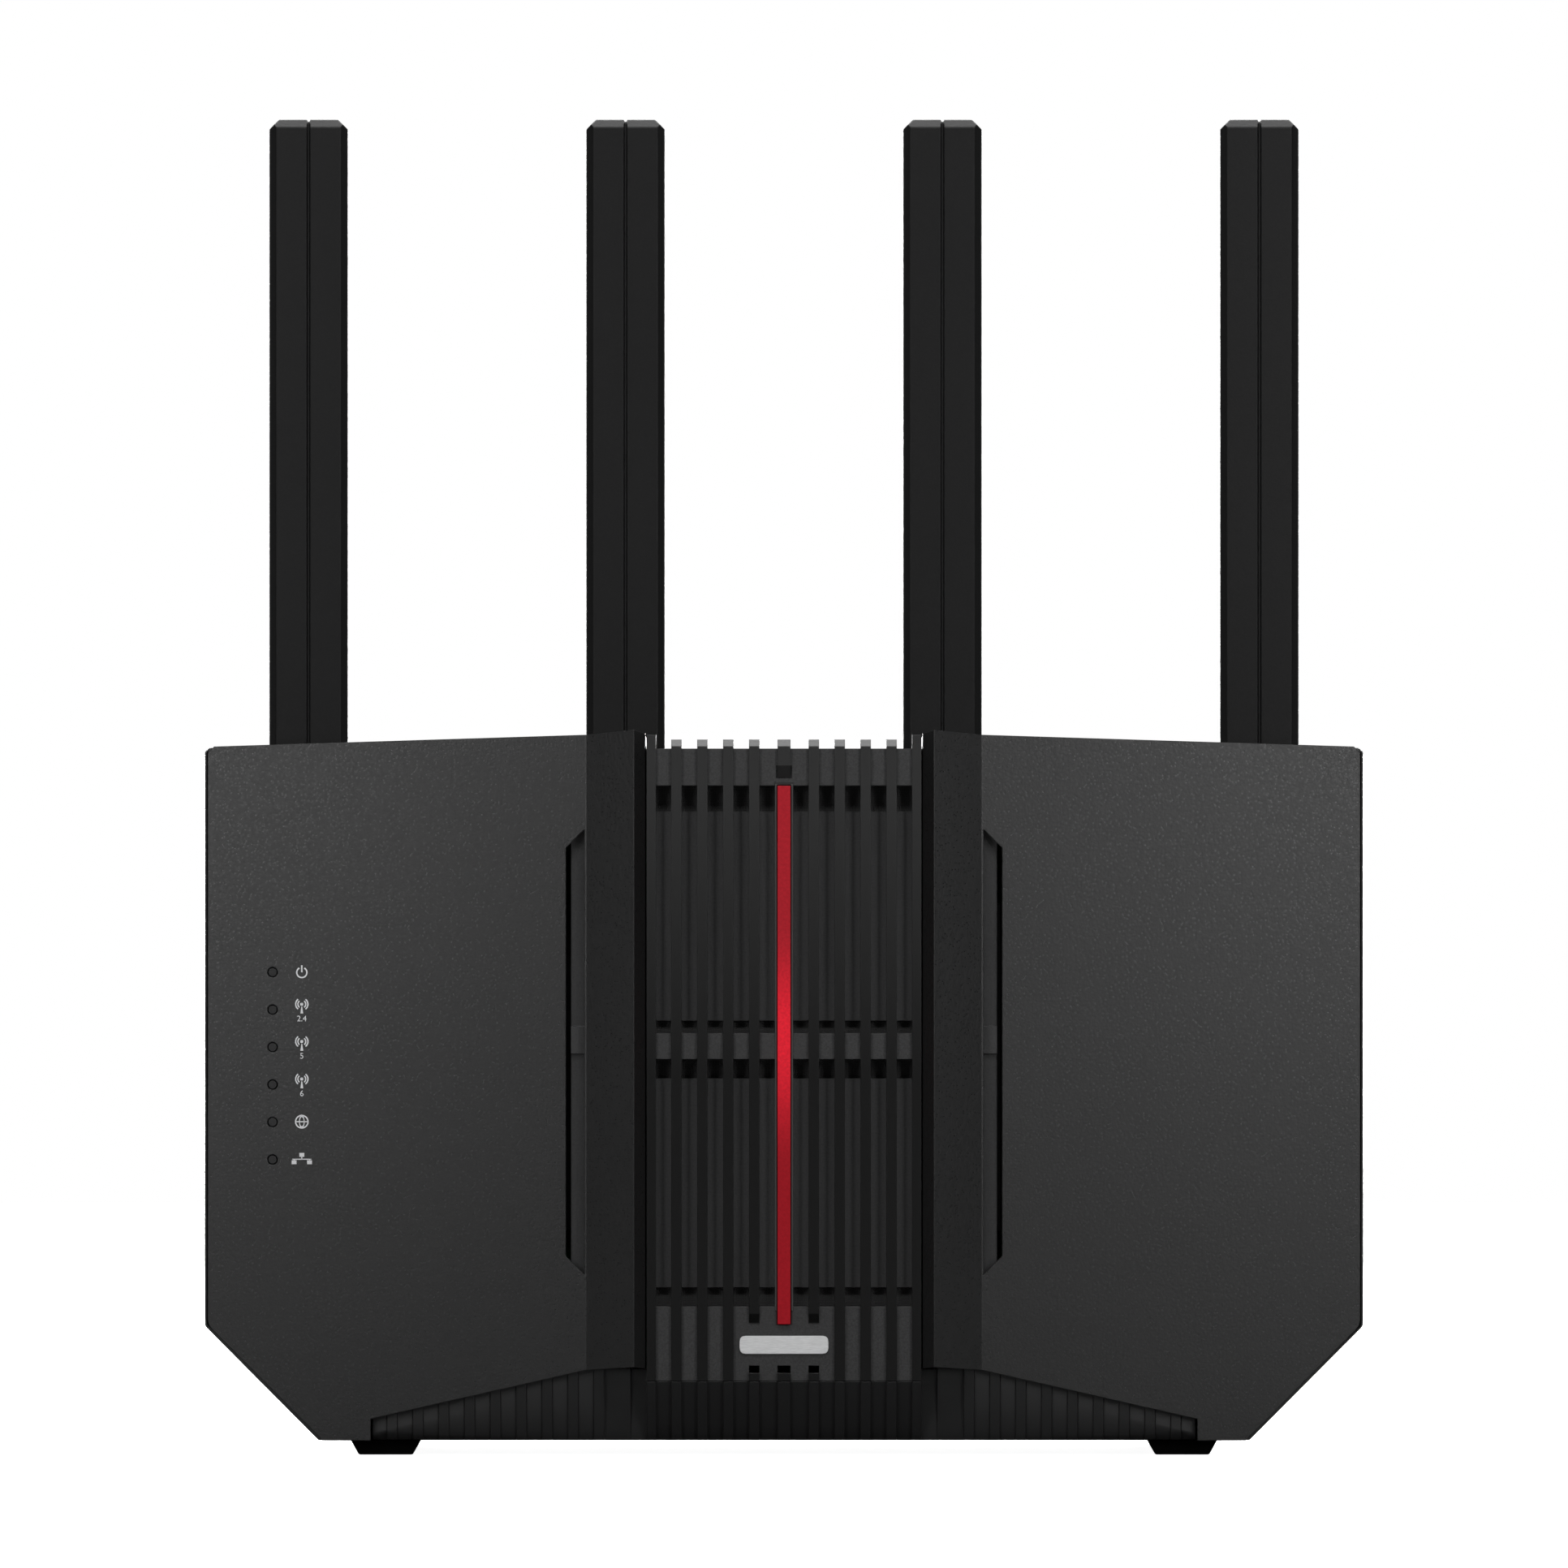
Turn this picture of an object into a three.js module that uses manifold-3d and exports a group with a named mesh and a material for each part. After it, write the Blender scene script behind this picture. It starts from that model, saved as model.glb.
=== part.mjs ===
// A free-standing wireless router: a slim upright body between two swept wing covers, a ribbed vent grille
// with a red accent down the middle, a stand behind it, a row of sockets low on its back, and four flat
// antennas that swivel and fold on knuckles behind the body.
// Millimetres, +Z up. The front looks along -Y, +X is to the viewer's right. The origin lies on the surface
// that the router stands on, under the middle of its footprint.

import * as THREE from "three";
import { mergeVertices } from "three/addons/utils/BufferGeometryUtils.js";
import Module from "manifold-3d";

const wasm = await Module();
wasm.setup();

// ---------------------------------------------------------------- driving dimensions

const bodyWidth = 269.8; // over the rear housing
const bodyHeight = 164.7; // from the body's underside to the tops of the ridges
const totalDepth = 90; // from the ridges to the back of the stand
const housingDepth = 62; // from the ridges to the back of the port box
const upperDepth = 46; // from the ridges to the upper back wall
const footHeight = 3.6;
const wall = 2.4; // moulded walls of the housing and the covers
const fitGap = 0.3; // between pieces that nest in each other
const seatGap = 0.1; // between pieces that are pressed together
const runGap = 0.3; // round pins and stems that turn

// Wing covers, seen from above: depths are measured back from the ridges.
const ridgeX = 34.7;
const foldX = 45.8;
const innerX = 32.1; // where a wing meets the grille
const innerDepth = 2.5;
const foldDepth = 4;
const edgeDepth = 13;
const flangeDepth = 9; // back of the flange beside the grille
const sideReveal = 1.2; // housing rim that shows past a cover, at the sides
const cutReveal = 0.75; // and along the cut corners
const rimSetback = 0.6; // housing rim, behind the cover's face
const rimLand = 0.25; // flat on the rim beside the cover, before it flares out
const rimFlare = 14; // depth over which it flares to the full width

// Body outline, seen from the front.
const cornerCut = 26.8;
const cornerRound = 4;
const foldDrop = 1.1; // the top edge falls away from the ridge by this much at the fold
const edgeDrop = 3.8; // and by this much at the outer corner
const innerDrop = 0.8;
const topCorner = 1.5;

// Lower edge of the wings, heights above the standing surface.
const cutInnerZ = 20.5;
const cutRidgeZ = 20.9;
const cutFoldZ = 20.1;
const cutOuterInset = 39.1; // its outer end, in from the side
const cutOuterZ = 8.6;

// Grille.
const barPitch = 6;
const firstBarX = 6.9;
const barsPerSide = 4;
const barWidth = 2.4;
const centreBarWidth = 3;
const carrierWidth = 4.2; // the bar that the accent strip lies in
const barFace = innerDepth; // front of the bars
const bandFace = 3.7; // front of the cross bands
const grilleDrop = 4.3; // top of the bands, below the ridges
const barRise = 2.1; // the bars stand above the bands' top by this much
const barChamfer = 1.6;
const topBand = 8.6;
const topSlot = 6;
const upperMidSlot = 2.9;
const midBand = 6;
const lowerMidSlot = 4.5;
const lowerSlot = 4.3;
const lowerBandTop = 34.9;
const creaseZ = 17.6; // the face turns under here
const louvreFace = 8;
const louvreThickness = 1.6;
const accentBottom = 30.8;
const accentProud = 0.2;
const badgeWidth = 20.6;
const badgeHeight = 4.2;
const badgeZ = 26;
const badgeThickness = 0.6;
const stubDrop = 4.1; // the middle bar ends this far below the bands' top
const stubSlope = 2.8; // height of the slope under its end
const barEndSlope = 2.4; // the same under the inner bars, above the badge
const lowBarTop = 19.5; // the bars start again below the badge
const lowBarHole = 1.65; // height of the hole over each of them

// Side pockets beside the folds.
const pocketOuterX = 50.5;
const pocketInnerX = 46.2;
const pocketBottom = 42.2;
const pocketTopDrop = 23;
const pocketSlant = 4.3;
const pocketGap = 1.1;

// Ribbed skirt under the wings.
const skirtClear = 1.2; // between the back of the wing's plate and the skirt
const skirtLip = 1.6; // flat under the body, behind the skirt's lower edge
const skirtUpright = 3.3; // upright strip above the crease
const skirtBottomDepth = 14.6;
const ribProud = 0.8;
const postX = 41.5; // the ribbed part ends here, and a plain post follows
const postWidth = 6;
const postSetback = 1.6;

// Status lights, in the left wing.
const ledInset = 16.3; // in from the housing's side
const ledFirstZ = 68.7;
const ledPitch = 8.69;
const ledCount = 6;
const ledHole = 2.4;
const ledPin = 2;

// Board and what stands on it.
const boardFace = 34; // front of the main board, back from the ridges
const boardThickness = 1.6;
const boardInset = 14.4; // in from the housing's side
const boardBottom = 12;
const boardTopDrop = 20;
const shieldHeight = 2.4;
const sinkBase = 2;
const sinkFin = 12;
const sinkHalfWidth = 56;
const finPitch = 7;
const finThickness = 1.2;

// Sockets and buttons in the back, all on one row.
const portZ = 36;
const jackWidth = 15.9;
const jackHeight = 13.6;
const jackMouth = [11.9, 7.2];
const jackLatch = [6.2, 2.6];
const jackPocket = 15;
const portRecess = 0.4;
const wanX = 26;
const lanFirstX = 4;
const lanPitch = 16.2;
const usbX = 46;
const dcX = 63;
const powerX = 78;
const resetX = -64;
const wpsX = -76;
const powerTravel = 1.8;
const wpsTravel = 0.8;
const resetTravel = 0.6;

// Stand and feet.
const standTop = 8; // thickness under the port box
const standFront = 40;
const standInset = 32.9; // in from the housing's side
const standRear = 3; // thickness at its back edge
const footInset = 42.4;
const frontFootDepth = 24;
const rearFootDepth = 79;

// Antennas.
const antennaInset = 23.5; // the outer ones, in from the housing's side
const antennaWidth = 18.4;
const antennaThickness = 9.2;
const antennaReach = 173.5; // from the fold axis to the tip
const antennaChamfer = 1.6;
const antennaCorner = 2.3;
const grooveWidth = 0.65;
const grooveDepth = 0.9;
const shellWall = 1.5;
const shellSeam = 0.15;
const foldDropZ = 30.3; // fold axis, below the ridges
const swivelSetback = 11; // swivel axis, behind the upper back wall
const bracketDrop = 12; // top of the bracket, below the fold axis
const bracketHeight = 8;
const bracketFoot = 14; // the bracket tapers down the wall by this much more
const stemRadius = 4.4;
const stemLength = 10;
const knuckleRadius = 9;
const knuckleBase = 4;
const tongueWidth = 7;
const slotWidth = 8;
const slotReach = 6.2;
const pinRadius = 1.5;

// ---------------------------------------------------------------- what follows from them

const halfWidth = bodyWidth / 2;
const cutOuterX = halfWidth - cutOuterInset;
const ledX = ledInset - halfWidth;
const boardHalfWidth = halfWidth - boardInset;
const standHalfWidth = halfWidth - standInset;
const footX = halfWidth - footInset;
const antennaPitch = (2 * (halfWidth - antennaInset)) / 3;
const antennaX = [-1.5, -0.5, 0.5, 1.5].map((n) => n * antennaPitch);
const skirtStep = wall + skirtClear; // behind the wing's face
const skirtBack = skirtBottomDepth + wall + skirtLip;
const bodyBottom = footHeight;
const ridgeTop = footHeight + bodyHeight;
const grilleTop = ridgeTop - grilleDrop;
const topBandBottom = grilleTop - topBand;
const upperLouvreTop = topBandBottom - topSlot;
const lowerLouvreBottom = lowerBandTop + lowerSlot;
const midSpan = upperMidSlot + midBand + lowerMidSlot;
const louvreHeight = (upperLouvreTop - lowerLouvreBottom - midSpan) / 2;
const lowerLouvreTop = lowerLouvreBottom + louvreHeight;
const midBandBottom = lowerLouvreTop + lowerMidSlot;
const midBandTop = midBandBottom + midBand;
const upperLouvreBottom = midBandTop + upperMidSlot;
const grilleHalf = innerX - fitGap;
const ventHalf = firstBarX + (barsPerSide - 1) * barPitch + barPitch - barWidth / 2 - 0.05;
const pocketTop = ridgeTop - pocketTopDrop;
const coverEdgeX = halfWidth - sideReveal;
const hingeZ = ridgeTop - foldDropZ;
const hingeDepth = upperDepth + swivelSetback;
const bracketTop = hingeZ - bracketDrop;
const boardTop = ridgeTop - boardTopDrop;
const boardBack = boardFace + boardThickness;
const backWallInner = housingDepth - wall;
const upperWallInner = upperDepth - wall;
const standZ = bodyBottom + standTop;
const cornerLine = halfWidth - cornerCut - bodyBottom; // x - z along the cut corners
const barXs = [];
for (let n = 0; n < barsPerSide; n++) barXs.push(firstBarX + n * barPitch);

// Depth of the wing's face at a distance x from the middle.
function wingDepth(x) {
  if (x < ridgeX) return (innerDepth * (ridgeX - x)) / (ridgeX - innerX);
  if (x < foldX) return (foldDepth * (x - ridgeX)) / (foldX - ridgeX);
  return foldDepth + ((edgeDepth - foldDepth) * (x - foldX)) / (coverEdgeX - foldX);
}

// ---------------------------------------------------------------- solids from three.js geometry

function solidOf(geometry) {
  const bare = geometry.index ? geometry.toNonIndexed() : geometry.clone();
  for (const name of Object.keys(bare.attributes)) {
    if (name !== "position") bare.deleteAttribute(name);
  }
  const merged = mergeVertices(bare, 1e-4);
  const vertProperties = new Float32Array(merged.attributes.position.array);
  const triVerts = new Uint32Array(merged.index.array);
  return new wasm.Manifold(new wasm.Mesh({ numProp: 3, vertProperties, triVerts }));
}

function shapeOf(points) {
  const turned = THREE.ShapeUtils.isClockWise(points.map(([a, b]) => new THREE.Vector2(a, b)));
  const ordered = turned ? [...points].reverse() : points;
  return new THREE.Shape(ordered.map(([a, b]) => new THREE.Vector2(a, b)));
}

function extruded(points, length) {
  return new THREE.ExtrudeGeometry(shapeOf(points), { depth: length, bevelEnabled: false, steps: 1 });
}

// A box between two corners: x, depth back from the ridges, z.
function box(x0, x1, y0, y1, z0, z1) {
  const geometry = new THREE.BoxGeometry(x1 - x0, y1 - y0, z1 - z0);
  return solidOf(geometry.translate((x0 + x1) / 2, (y0 + y1) / 2, (z0 + z1) / 2));
}

// An outline of [x, z] points, from depth y0 back to y1.
function prismY(points, y0, y1) {
  return solidOf(extruded(points, y1 - y0).rotateX(Math.PI / 2).translate(0, y1, 0));
}

// An outline of [x, depth] points, from height z0 up to z1.
function prismZ(points, z0, z1) {
  return solidOf(extruded(points, z1 - z0).translate(0, 0, z0));
}

// An outline of [depth, z] points, from x0 across to x1.
function prismX(points, x0, x1) {
  const turn = new THREE.Matrix4().makeBasis(
    new THREE.Vector3(0, 1, 0),
    new THREE.Vector3(0, 0, 1),
    new THREE.Vector3(1, 0, 0),
  );
  return solidOf(extruded(points, x1 - x0).applyMatrix4(turn).translate(x0, 0, 0));
}

function cylinderX(y, z, radius, x0, x1, sides = 20) {
  const geometry = new THREE.CylinderGeometry(radius, radius, x1 - x0, sides).rotateZ(Math.PI / 2);
  return solidOf(geometry.translate((x0 + x1) / 2, y, z));
}

function cylinderY(x, z, radius, y0, y1, sides = 20) {
  const geometry = new THREE.CylinderGeometry(radius, radius, y1 - y0, sides);
  return solidOf(geometry.translate(x, (y0 + y1) / 2, z));
}

function cylinderZ(x, y, radius, z0, z1, sides = 20) {
  const geometry = new THREE.CylinderGeometry(radius, radius, z1 - z0, sides).rotateX(Math.PI / 2);
  return solidOf(geometry.translate(x, y, (z0 + z1) / 2));
}

// A straight loft between two [depth, z] outlines of the same length, at x0 and x1.
function loftX(first, second, x0, x1) {
  const count = first.length;
  const position = [];
  const at = (n, far) => (far ? [x1, ...second[n % count]] : [x0, ...first[n % count]]);
  for (let n = 0; n < count; n++) {
    position.push(...at(n, false), ...at(n + 1, false), ...at(n, true));
    position.push(...at(n, true), ...at(n + 1, false), ...at(n + 1, true));
  }
  const flat = first.map(([a, b]) => new THREE.Vector2(a, b));
  for (const [a, b, c] of THREE.ShapeUtils.triangulateShape(flat, [])) {
    position.push(...at(c, false), ...at(b, false), ...at(a, false));
    position.push(...at(a, true), ...at(b, true), ...at(c, true));
  }
  const geometry = new THREE.BufferGeometry();
  geometry.setAttribute("position", new THREE.Float32BufferAttribute(position, 3));
  const made = solidOf(geometry);
  return made.volume() > 0 ? made : solidOf(turnedInsideOut(geometry));
}

function turnedInsideOut(geometry) {
  const p = geometry.attributes.position.array.slice();
  for (let n = 0; n < p.length; n += 9) {
    for (let k = 0; k < 3; k++) [p[n + 3 + k], p[n + 6 + k]] = [p[n + 6 + k], p[n + 3 + k]];
  }
  return new THREE.BufferGeometry().setAttribute("position", new THREE.Float32BufferAttribute(p, 3));
}

// A tube along a smooth curve through points.
function tube(points, radius, steps, sides) {
  const ring = [];
  for (let n = 0; n < sides; n++) {
    const a = (2 * Math.PI * n) / sides;
    ring.push([radius * Math.cos(a), radius * Math.sin(a)]);
  }
  const path = new THREE.CatmullRomCurve3(points.map((p) => new THREE.Vector3(...p)));
  return solidOf(new THREE.ExtrudeGeometry(shapeOf(ring), { extrudePath: path, steps, bevelEnabled: false }));
}

function joined(solids) {
  return solids.reduce((all, next) => all.add(next));
}

function mirrored(solid) {
  return solid.mirror([1, 0, 0]);
}

// The same outline with one corner rounded, as a short arc.
function withRound(points, index, radius, steps = 4) {
  const at = (n) => new THREE.Vector2(...points[(n + points.length) % points.length]);
  const corner = at(index);
  const before = at(index - 1).sub(corner).normalize();
  const after = at(index + 1).sub(corner).normalize();
  const half = before.angleTo(after) / 2;
  const run = radius / Math.tan(half);
  const start = corner.clone().addScaledVector(before, run);
  const end = corner.clone().addScaledVector(after, run);
  const curve = new THREE.QuadraticBezierCurve(start, corner, end);
  const arc = curve.getPoints(steps).map((p) => [p.x, p.y]);
  return [...points.slice(0, index), ...arc, ...points.slice(index + 1)];
}

// ---------------------------------------------------------------- finishes

const finish = (color, roughness, metalness = 0) =>
  new THREE.MeshStandardMaterial({ color, roughness, metalness, flatShading: true });
const texturedBlack = finish(0x343435, 0.62);
const smoothBlack = finish(0x232324, 0.48);
const housingBlack = finish(0x2b2b2c, 0.6);
const accentRed = finish(0xc01828, 0.35);
const badgeSilver = finish(0xb4b6b8, 0.3, 0.8);
const rubberBlack = finish(0x0d0d0d, 0.85);
const boardGreen = finish(0x12402a, 0.5);
const sinkMetal = finish(0x1f1f21, 0.45, 0.4);
const steel = finish(0xb9bbbd, 0.3, 1);
const gold = finish(0xd6a544, 0.3, 1);
const jackGrey = finish(0x55585c, 0.5);
const jackBlue = finish(0x1f4f9c, 0.5);
const clearPipe = finish(0xc9d4da, 0.15);
const labelGrey = finish(0xb7b9bb, 0.6);
const leadGrey = finish(0x8a8a8a, 0.5);

// ---------------------------------------------------------------- front covers

// Outline of the right wing from the front, as [x, z]; the left one is its mirror image.
function wingOutline() {
  const cut = cornerLine - cutReveal * Math.SQRT2;
  const points = [
    [innerX, cutInnerZ],
    [ridgeX, cutRidgeZ],
    [foldX, cutFoldZ],
    [cutOuterX, cutOuterZ],
    [cutOuterX, bodyBottom],
    [cut + bodyBottom, bodyBottom],
    [coverEdgeX, coverEdgeX - cut],
    [coverEdgeX, ridgeTop - edgeDrop - topCorner],
    [coverEdgeX - topCorner, ridgeTop - edgeDrop],
    [foldX, ridgeTop - foldDrop],
    [ridgeX, ridgeTop],
    [innerX, ridgeTop - innerDrop],
  ];
  return withRound(points, 6, cornerRound);
}

// The wing from above: a folded plate with a flange down beside the grille.
function wingPlan() {
  return [
    [innerX, innerDepth],
    [ridgeX, 0],
    [foldX, foldDepth],
    [coverEdgeX, edgeDepth],
    [coverEdgeX, edgeDepth + wall],
    [foldX + 0.2, foldDepth + wall],
    [ridgeX + 1.2, wall + 0.3],
    [innerX + wall, innerDepth + wall / 2],
    [innerX + wall, flangeDepth],
    [innerX, flangeDepth],
  ];
}

function pocketOutline() {
  return [
    [pocketInnerX, pocketBottom],
    [pocketOuterX, pocketBottom + pocketSlant],
    [pocketOuterX, pocketTop - pocketSlant],
    [pocketInnerX, pocketTop],
  ];
}

function rightWing() {
  const plate = prismZ(wingPlan(), 0, ridgeTop + 1).intersect(prismY(wingOutline(), -1, housingDepth));
  const pocket = prismY(pocketOutline(), -1, edgeDepth);
  const boss = (x, z) => {
    const back = wingDepth(x) + wall;
    return cylinderY(x, z, bossRadius, back - wall / 2, back + bossReach, 12);
  };
  const bosses = screwPlaces.map(([x, z]) => boss(x, z));
  return joined([plate.subtract(pocket), ...bosses]);
}

// Screws hold each wing from behind, near its top and low on its outer edge.
const bossRadius = 3;
const bossReach = 5;
const screwInset = 8.9; // in from the housing's side
const screwDrop = 18;
const screwRise = 46.8;
const screwPlaces = [
  [halfWidth - screwInset, ridgeTop - screwDrop],
  [halfWidth - screwInset, bodyBottom + screwRise],
];

function ledZ(n) {
  return ledFirstZ + n * ledPitch;
}

function leftWing() {
  let wing = mirrored(rightWing());
  for (let n = 0; n < ledCount; n++) {
    wing = wing.subtract(cylinderY(ledX, ledZ(n), ledHole / 2, 0, edgeDepth + 6, 16));
  }
  return wing;
}

// ---------------------------------------------------------------- grille

// One bar from the side, as [depth, z]: up the front, over a chamfer and back along the top.
function barProfile(bottom) {
  const top = grilleTop + barRise;
  const back = louvreFace - fitGap;
  return [
    [barFace, bottom],
    [barFace, top - barChamfer],
    [barFace + barChamfer, top],
    [gridBack, top],
    [gridBack, grilleTop - wall],
    [back, grilleTop - wall],
    [back, bottom],
  ];
}
const gridBack = 14;

function grille() {
  const back = louvreFace - fitGap;
  const band = (low, high) => box(-grilleHalf, grilleHalf, bandFace, back, low, high);
  const strips = [-1, 1].map((side) => {
    const a = side * ventHalf;
    const b = side * grilleHalf;
    const top = ridgeTop - innerDrop;
    return box(Math.min(a, b), Math.max(a, b), barFace, back, creaseZ, top - fitGap);
  });
  const solids = [
    band(topBandBottom, grilleTop),
    band(midBandBottom, midBandTop),
    band(creaseZ, lowerBandTop),
    box(-grilleHalf, grilleHalf, bandFace, gridBack, grilleTop - wall, grilleTop),
    box(-carrierWidth / 2, carrierWidth / 2, bandFace - 0.3, back, lowerBandTop - 1, topBandBottom + 1),
    ...strips,
  ];
  for (const x of barXs) {
    for (const side of [-1, 1]) {
      const middle = side * x;
      solids.push(prismX(barProfile(creaseZ), middle - barWidth / 2, middle + barWidth / 2));
    }
  }
  solids.push(prismX(stubProfile(), -accentHalf, accentHalf));
  const lowBar = [
    [barFace, creaseZ],
    [barFace, lowBarTop],
    [back, lowBarTop],
    [back, creaseZ],
  ];
  solids.push(prismX(lowBar, -accentHalf, accentHalf));
  let made = joined(solids);
  made = made.subtract(badgeClearing());
  const holeTop = lowBarTop + lowBarHole;
  for (const [x, width] of lowBarPlaces) {
    made = made.subtract(box(x - width / 2, x + width / 2, 0, back + 1, lowBarTop, holeTop));
  }
  const channelHalf = accentHalf + fitGap / 2;
  const low = accentBottom - fitGap / 2;
  return made.subtract(box(-channelHalf, channelHalf, 0, bandFace + 1, low, accentTop + fitGap / 2));
}

const accentHalf = centreBarWidth / 2;
const accentTop = topBandBottom;
const lowBarPlaces = [
  [-firstBarX, barWidth],
  [0, centreBarWidth],
  [firstBarX, barWidth],
];

// The middle bar is a short stub over the accent, with a slope down to the band under its end.
function stubProfile() {
  const root = bandFace + 0.5;
  const end = grilleTop - stubDrop;
  const slopeEnd = end - (stubSlope * (root - barFace)) / (bandFace - barFace);
  return [[root, slopeEnd], ...barProfile(end).slice(0, -1), [louvreFace - fitGap, slopeEnd]];
}

// The inner bars stop short of the badge, with a slope under each end.
function badgeClearing() {
  const reach = firstBarX + barWidth / 2 + 0.2;
  const slope = [
    [0, lowBarTop],
    [bandFace, lowBarTop],
    [bandFace, accentBottom],
    [barFace, accentBottom + barEndSlope],
    [0, accentBottom + barEndSlope],
  ];
  return prismX(slope, -reach, reach);
}

// A plate behind the bars: two sunk panels, with open slots above and below each.
function louvrePlate() {
  const low = lowerBandTop - 4;
  const high = topBandBottom + 4;
  const plate = box(-grilleHalf, grilleHalf, louvreFace, louvreFace + louvreThickness, low, high);
  const slots = [
    [upperLouvreTop, topBandBottom],
    [midBandTop, upperLouvreBottom],
    [lowerLouvreTop, midBandBottom],
    [lowerBandTop, lowerLouvreBottom],
  ];
  const cuts = slots.map(([a, b]) => box(-ventHalf, ventHalf, louvreFace - 1, louvreFace + 5, a, b));
  return cuts.reduce((left, cut) => left.subtract(cut), plate);
}

// The sunk panel in the pocket beside the right wing's fold, with a raised band across it.
function sideLouvre() {
  const front = wingDepth(foldX) + wall + 2.2;
  const inner = foldX - 1.4;
  const outer = pocketOuterX - pocketGap;
  const low = pocketBottom - 3;
  const high = pocketTop + 3;
  const middle = midBandBottom + midBand / 2 + 1.4;
  const plate = box(inner, outer, front, front + louvreThickness, low, high);
  return plate.add(box(inner, outer, front - 1.5, front + 0.5, middle - 3.2, middle + 3.2));
}

function accentStrip() {
  const seat = bandFace + 0.7;
  return box(-accentHalf, accentHalf, barFace - accentProud, seat, accentBottom, accentTop);
}

// A plain, blank badge: a flat bar with its corners rounded off.
function badge() {
  const x = badgeWidth / 2;
  const z = badgeHeight / 2;
  let outline = [
    [-x, badgeZ - z],
    [x, badgeZ - z],
    [x, badgeZ + z],
    [-x, badgeZ + z],
  ];
  for (const corner of [3, 2, 1, 0]) outline = withRound(outline, corner, badgeHeight / 3, 3);
  return prismY(outline, bandFace - seatGap - badgeThickness, bandFace - seatGap);
}

// ---------------------------------------------------------------- skirt

// The skirt's section at a distance x from the middle, as [depth, z]: an upright strip under the wing's
// edge, then a face that turns under the body.
function skirtSection(face, top, crease) {
  return [
    [face, top],
    [face, crease],
    [skirtBottomDepth, bodyBottom],
    [skirtBack, bodyBottom],
    [skirtBack, top],
  ];
}

// A rib on that section stands proud of it and is rooted inside it.
function ribSection(face, top, crease) {
  const root = 1;
  return [
    [face - ribProud, top],
    [face - ribProud, crease],
    [skirtBottomDepth - ribProud, bodyBottom],
    [skirtBottomDepth + root, bodyBottom],
    [face + root, crease],
    [face + root, top],
  ];
}

// Height of the wing's lower edge at a distance x, between the fold and the edge's outer end.
function cutZ(x) {
  return cutFoldZ + ((cutOuterZ - cutFoldZ) * (x - foldX)) / (cutOuterX - foldX);
}

function ribbedSide() {
  const skirtEnd = cutOuterX - fitGap;
  const face = (x) => wingDepth(Math.max(x, foldX)) + skirtStep;
  const base = (x) => skirtSection(face(x), cutZ(x) + 2, cutZ(x) - skirtUpright);
  const rib = (x) => ribSection(face(x), cutZ(x) + 1.5, cutZ(x) - skirtUpright);
  const raised = loftX(rib(postX), rib(skirtEnd), postX, skirtEnd);
  const solids = [loftX(base(postX), base(skirtEnd), postX, skirtEnd)];
  for (let x = firstBarX; x + barWidth / 2 < skirtEnd; x += barPitch) {
    if (x - barWidth / 2 < postX) continue;
    solids.push(raised.intersect(box(x - barWidth / 2, x + barWidth / 2, -5, housingDepth, 0, grilleTop)));
  }
  return joined(solids);
}

// The bars run on down the middle of the skirt, between two plain sunk posts.
function skirt() {
  const lap = 0.2;
  const postFace = wingDepth(foldX) + skirtStep + postSetback;
  const postInner = postX - postWidth;
  const upright = cutFoldZ - skirtUpright;
  const post = prismX(skirtSection(postFace, upright + 3.6, upright), postInner, postX + lap);
  const valleyFace = skirtSection(postFace + postSetback, upright + 3.4, upright);
  const valley = prismX(valleyFace, grilleHalf - lap, postInner + lap);
  const top = creaseZ - seatGap;
  const middleSection = [
    [bandFace, top],
    [skirtBottomDepth, bodyBottom],
    [skirtBack, bodyBottom],
    [skirtBack, top],
  ];
  const barSection = [
    [barFace, top],
    [skirtBottomDepth - bandFace + barFace, bodyBottom],
    [skirtBottomDepth + 1, bodyBottom],
    [bandFace + 1, top],
  ];
  const sideStrip = grilleHalf - ventHalf;
  const bars = [0, ventHalf + sideStrip / 2, ...barXs].map((x, n) => {
    const width = [centreBarWidth, sideStrip][n] ?? barWidth;
    return prismX(barSection, x - width / 2, x + width / 2);
  });
  const half = joined([ribbedSide(), post, valley, ...bars]);
  return joined([half, mirrored(half), prismX(middleSection, -grilleHalf, grilleHalf)]);
}

// ---------------------------------------------------------------- rear housing

function housingOutline(inset) {
  const cut = cornerLine - inset * Math.SQRT2;
  const x = halfWidth - inset;
  const top = ridgeTop - inset - fitGap;
  const right = withRound(
    [
      [0, bodyBottom + inset],
      [cut + bodyBottom + inset, bodyBottom + inset],
      [x, x - cut],
      [x, top - edgeDrop - topCorner],
      [x - topCorner, top - edgeDrop],
      [foldX, top - foldDrop],
      [innerX, top - foldDrop],
      [innerX, top - grilleDrop],
      [0, top - grilleDrop],
    ],
    2,
    Math.max(cornerRound - inset, 1),
  );
  const left = right.slice(1, -1).reverse().map(([a, b]) => [-a, b]);
  return [...right, ...left];
}

// The housing from the side, as [depth, z]: a port box low down, a shoulder, and an upper wall whose top
// edge is cut back.
const shoulderLow = 56;
const topSlope = 14;
function housingProfile(inset) {
  const back = housingDepth - inset;
  const upper = upperDepth - inset;
  const slope = inset * 0.41;
  return [
    [0, bodyBottom + inset],
    [standFront + (inset ? -inset : 0), bodyBottom + inset],
    [standFront + (inset ? -inset : 0), standZ + inset],
    [back, standZ + inset],
    [back, shoulderLow - slope],
    [upper, shoulderLow + housingDepth - upperDepth - slope],
    [upper, ridgeTop - topSlope - slope],
    [upper - topSlope, ridgeTop - inset * 0.5],
    [0, ridgeTop - inset * 0.5],
  ];
}

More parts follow.
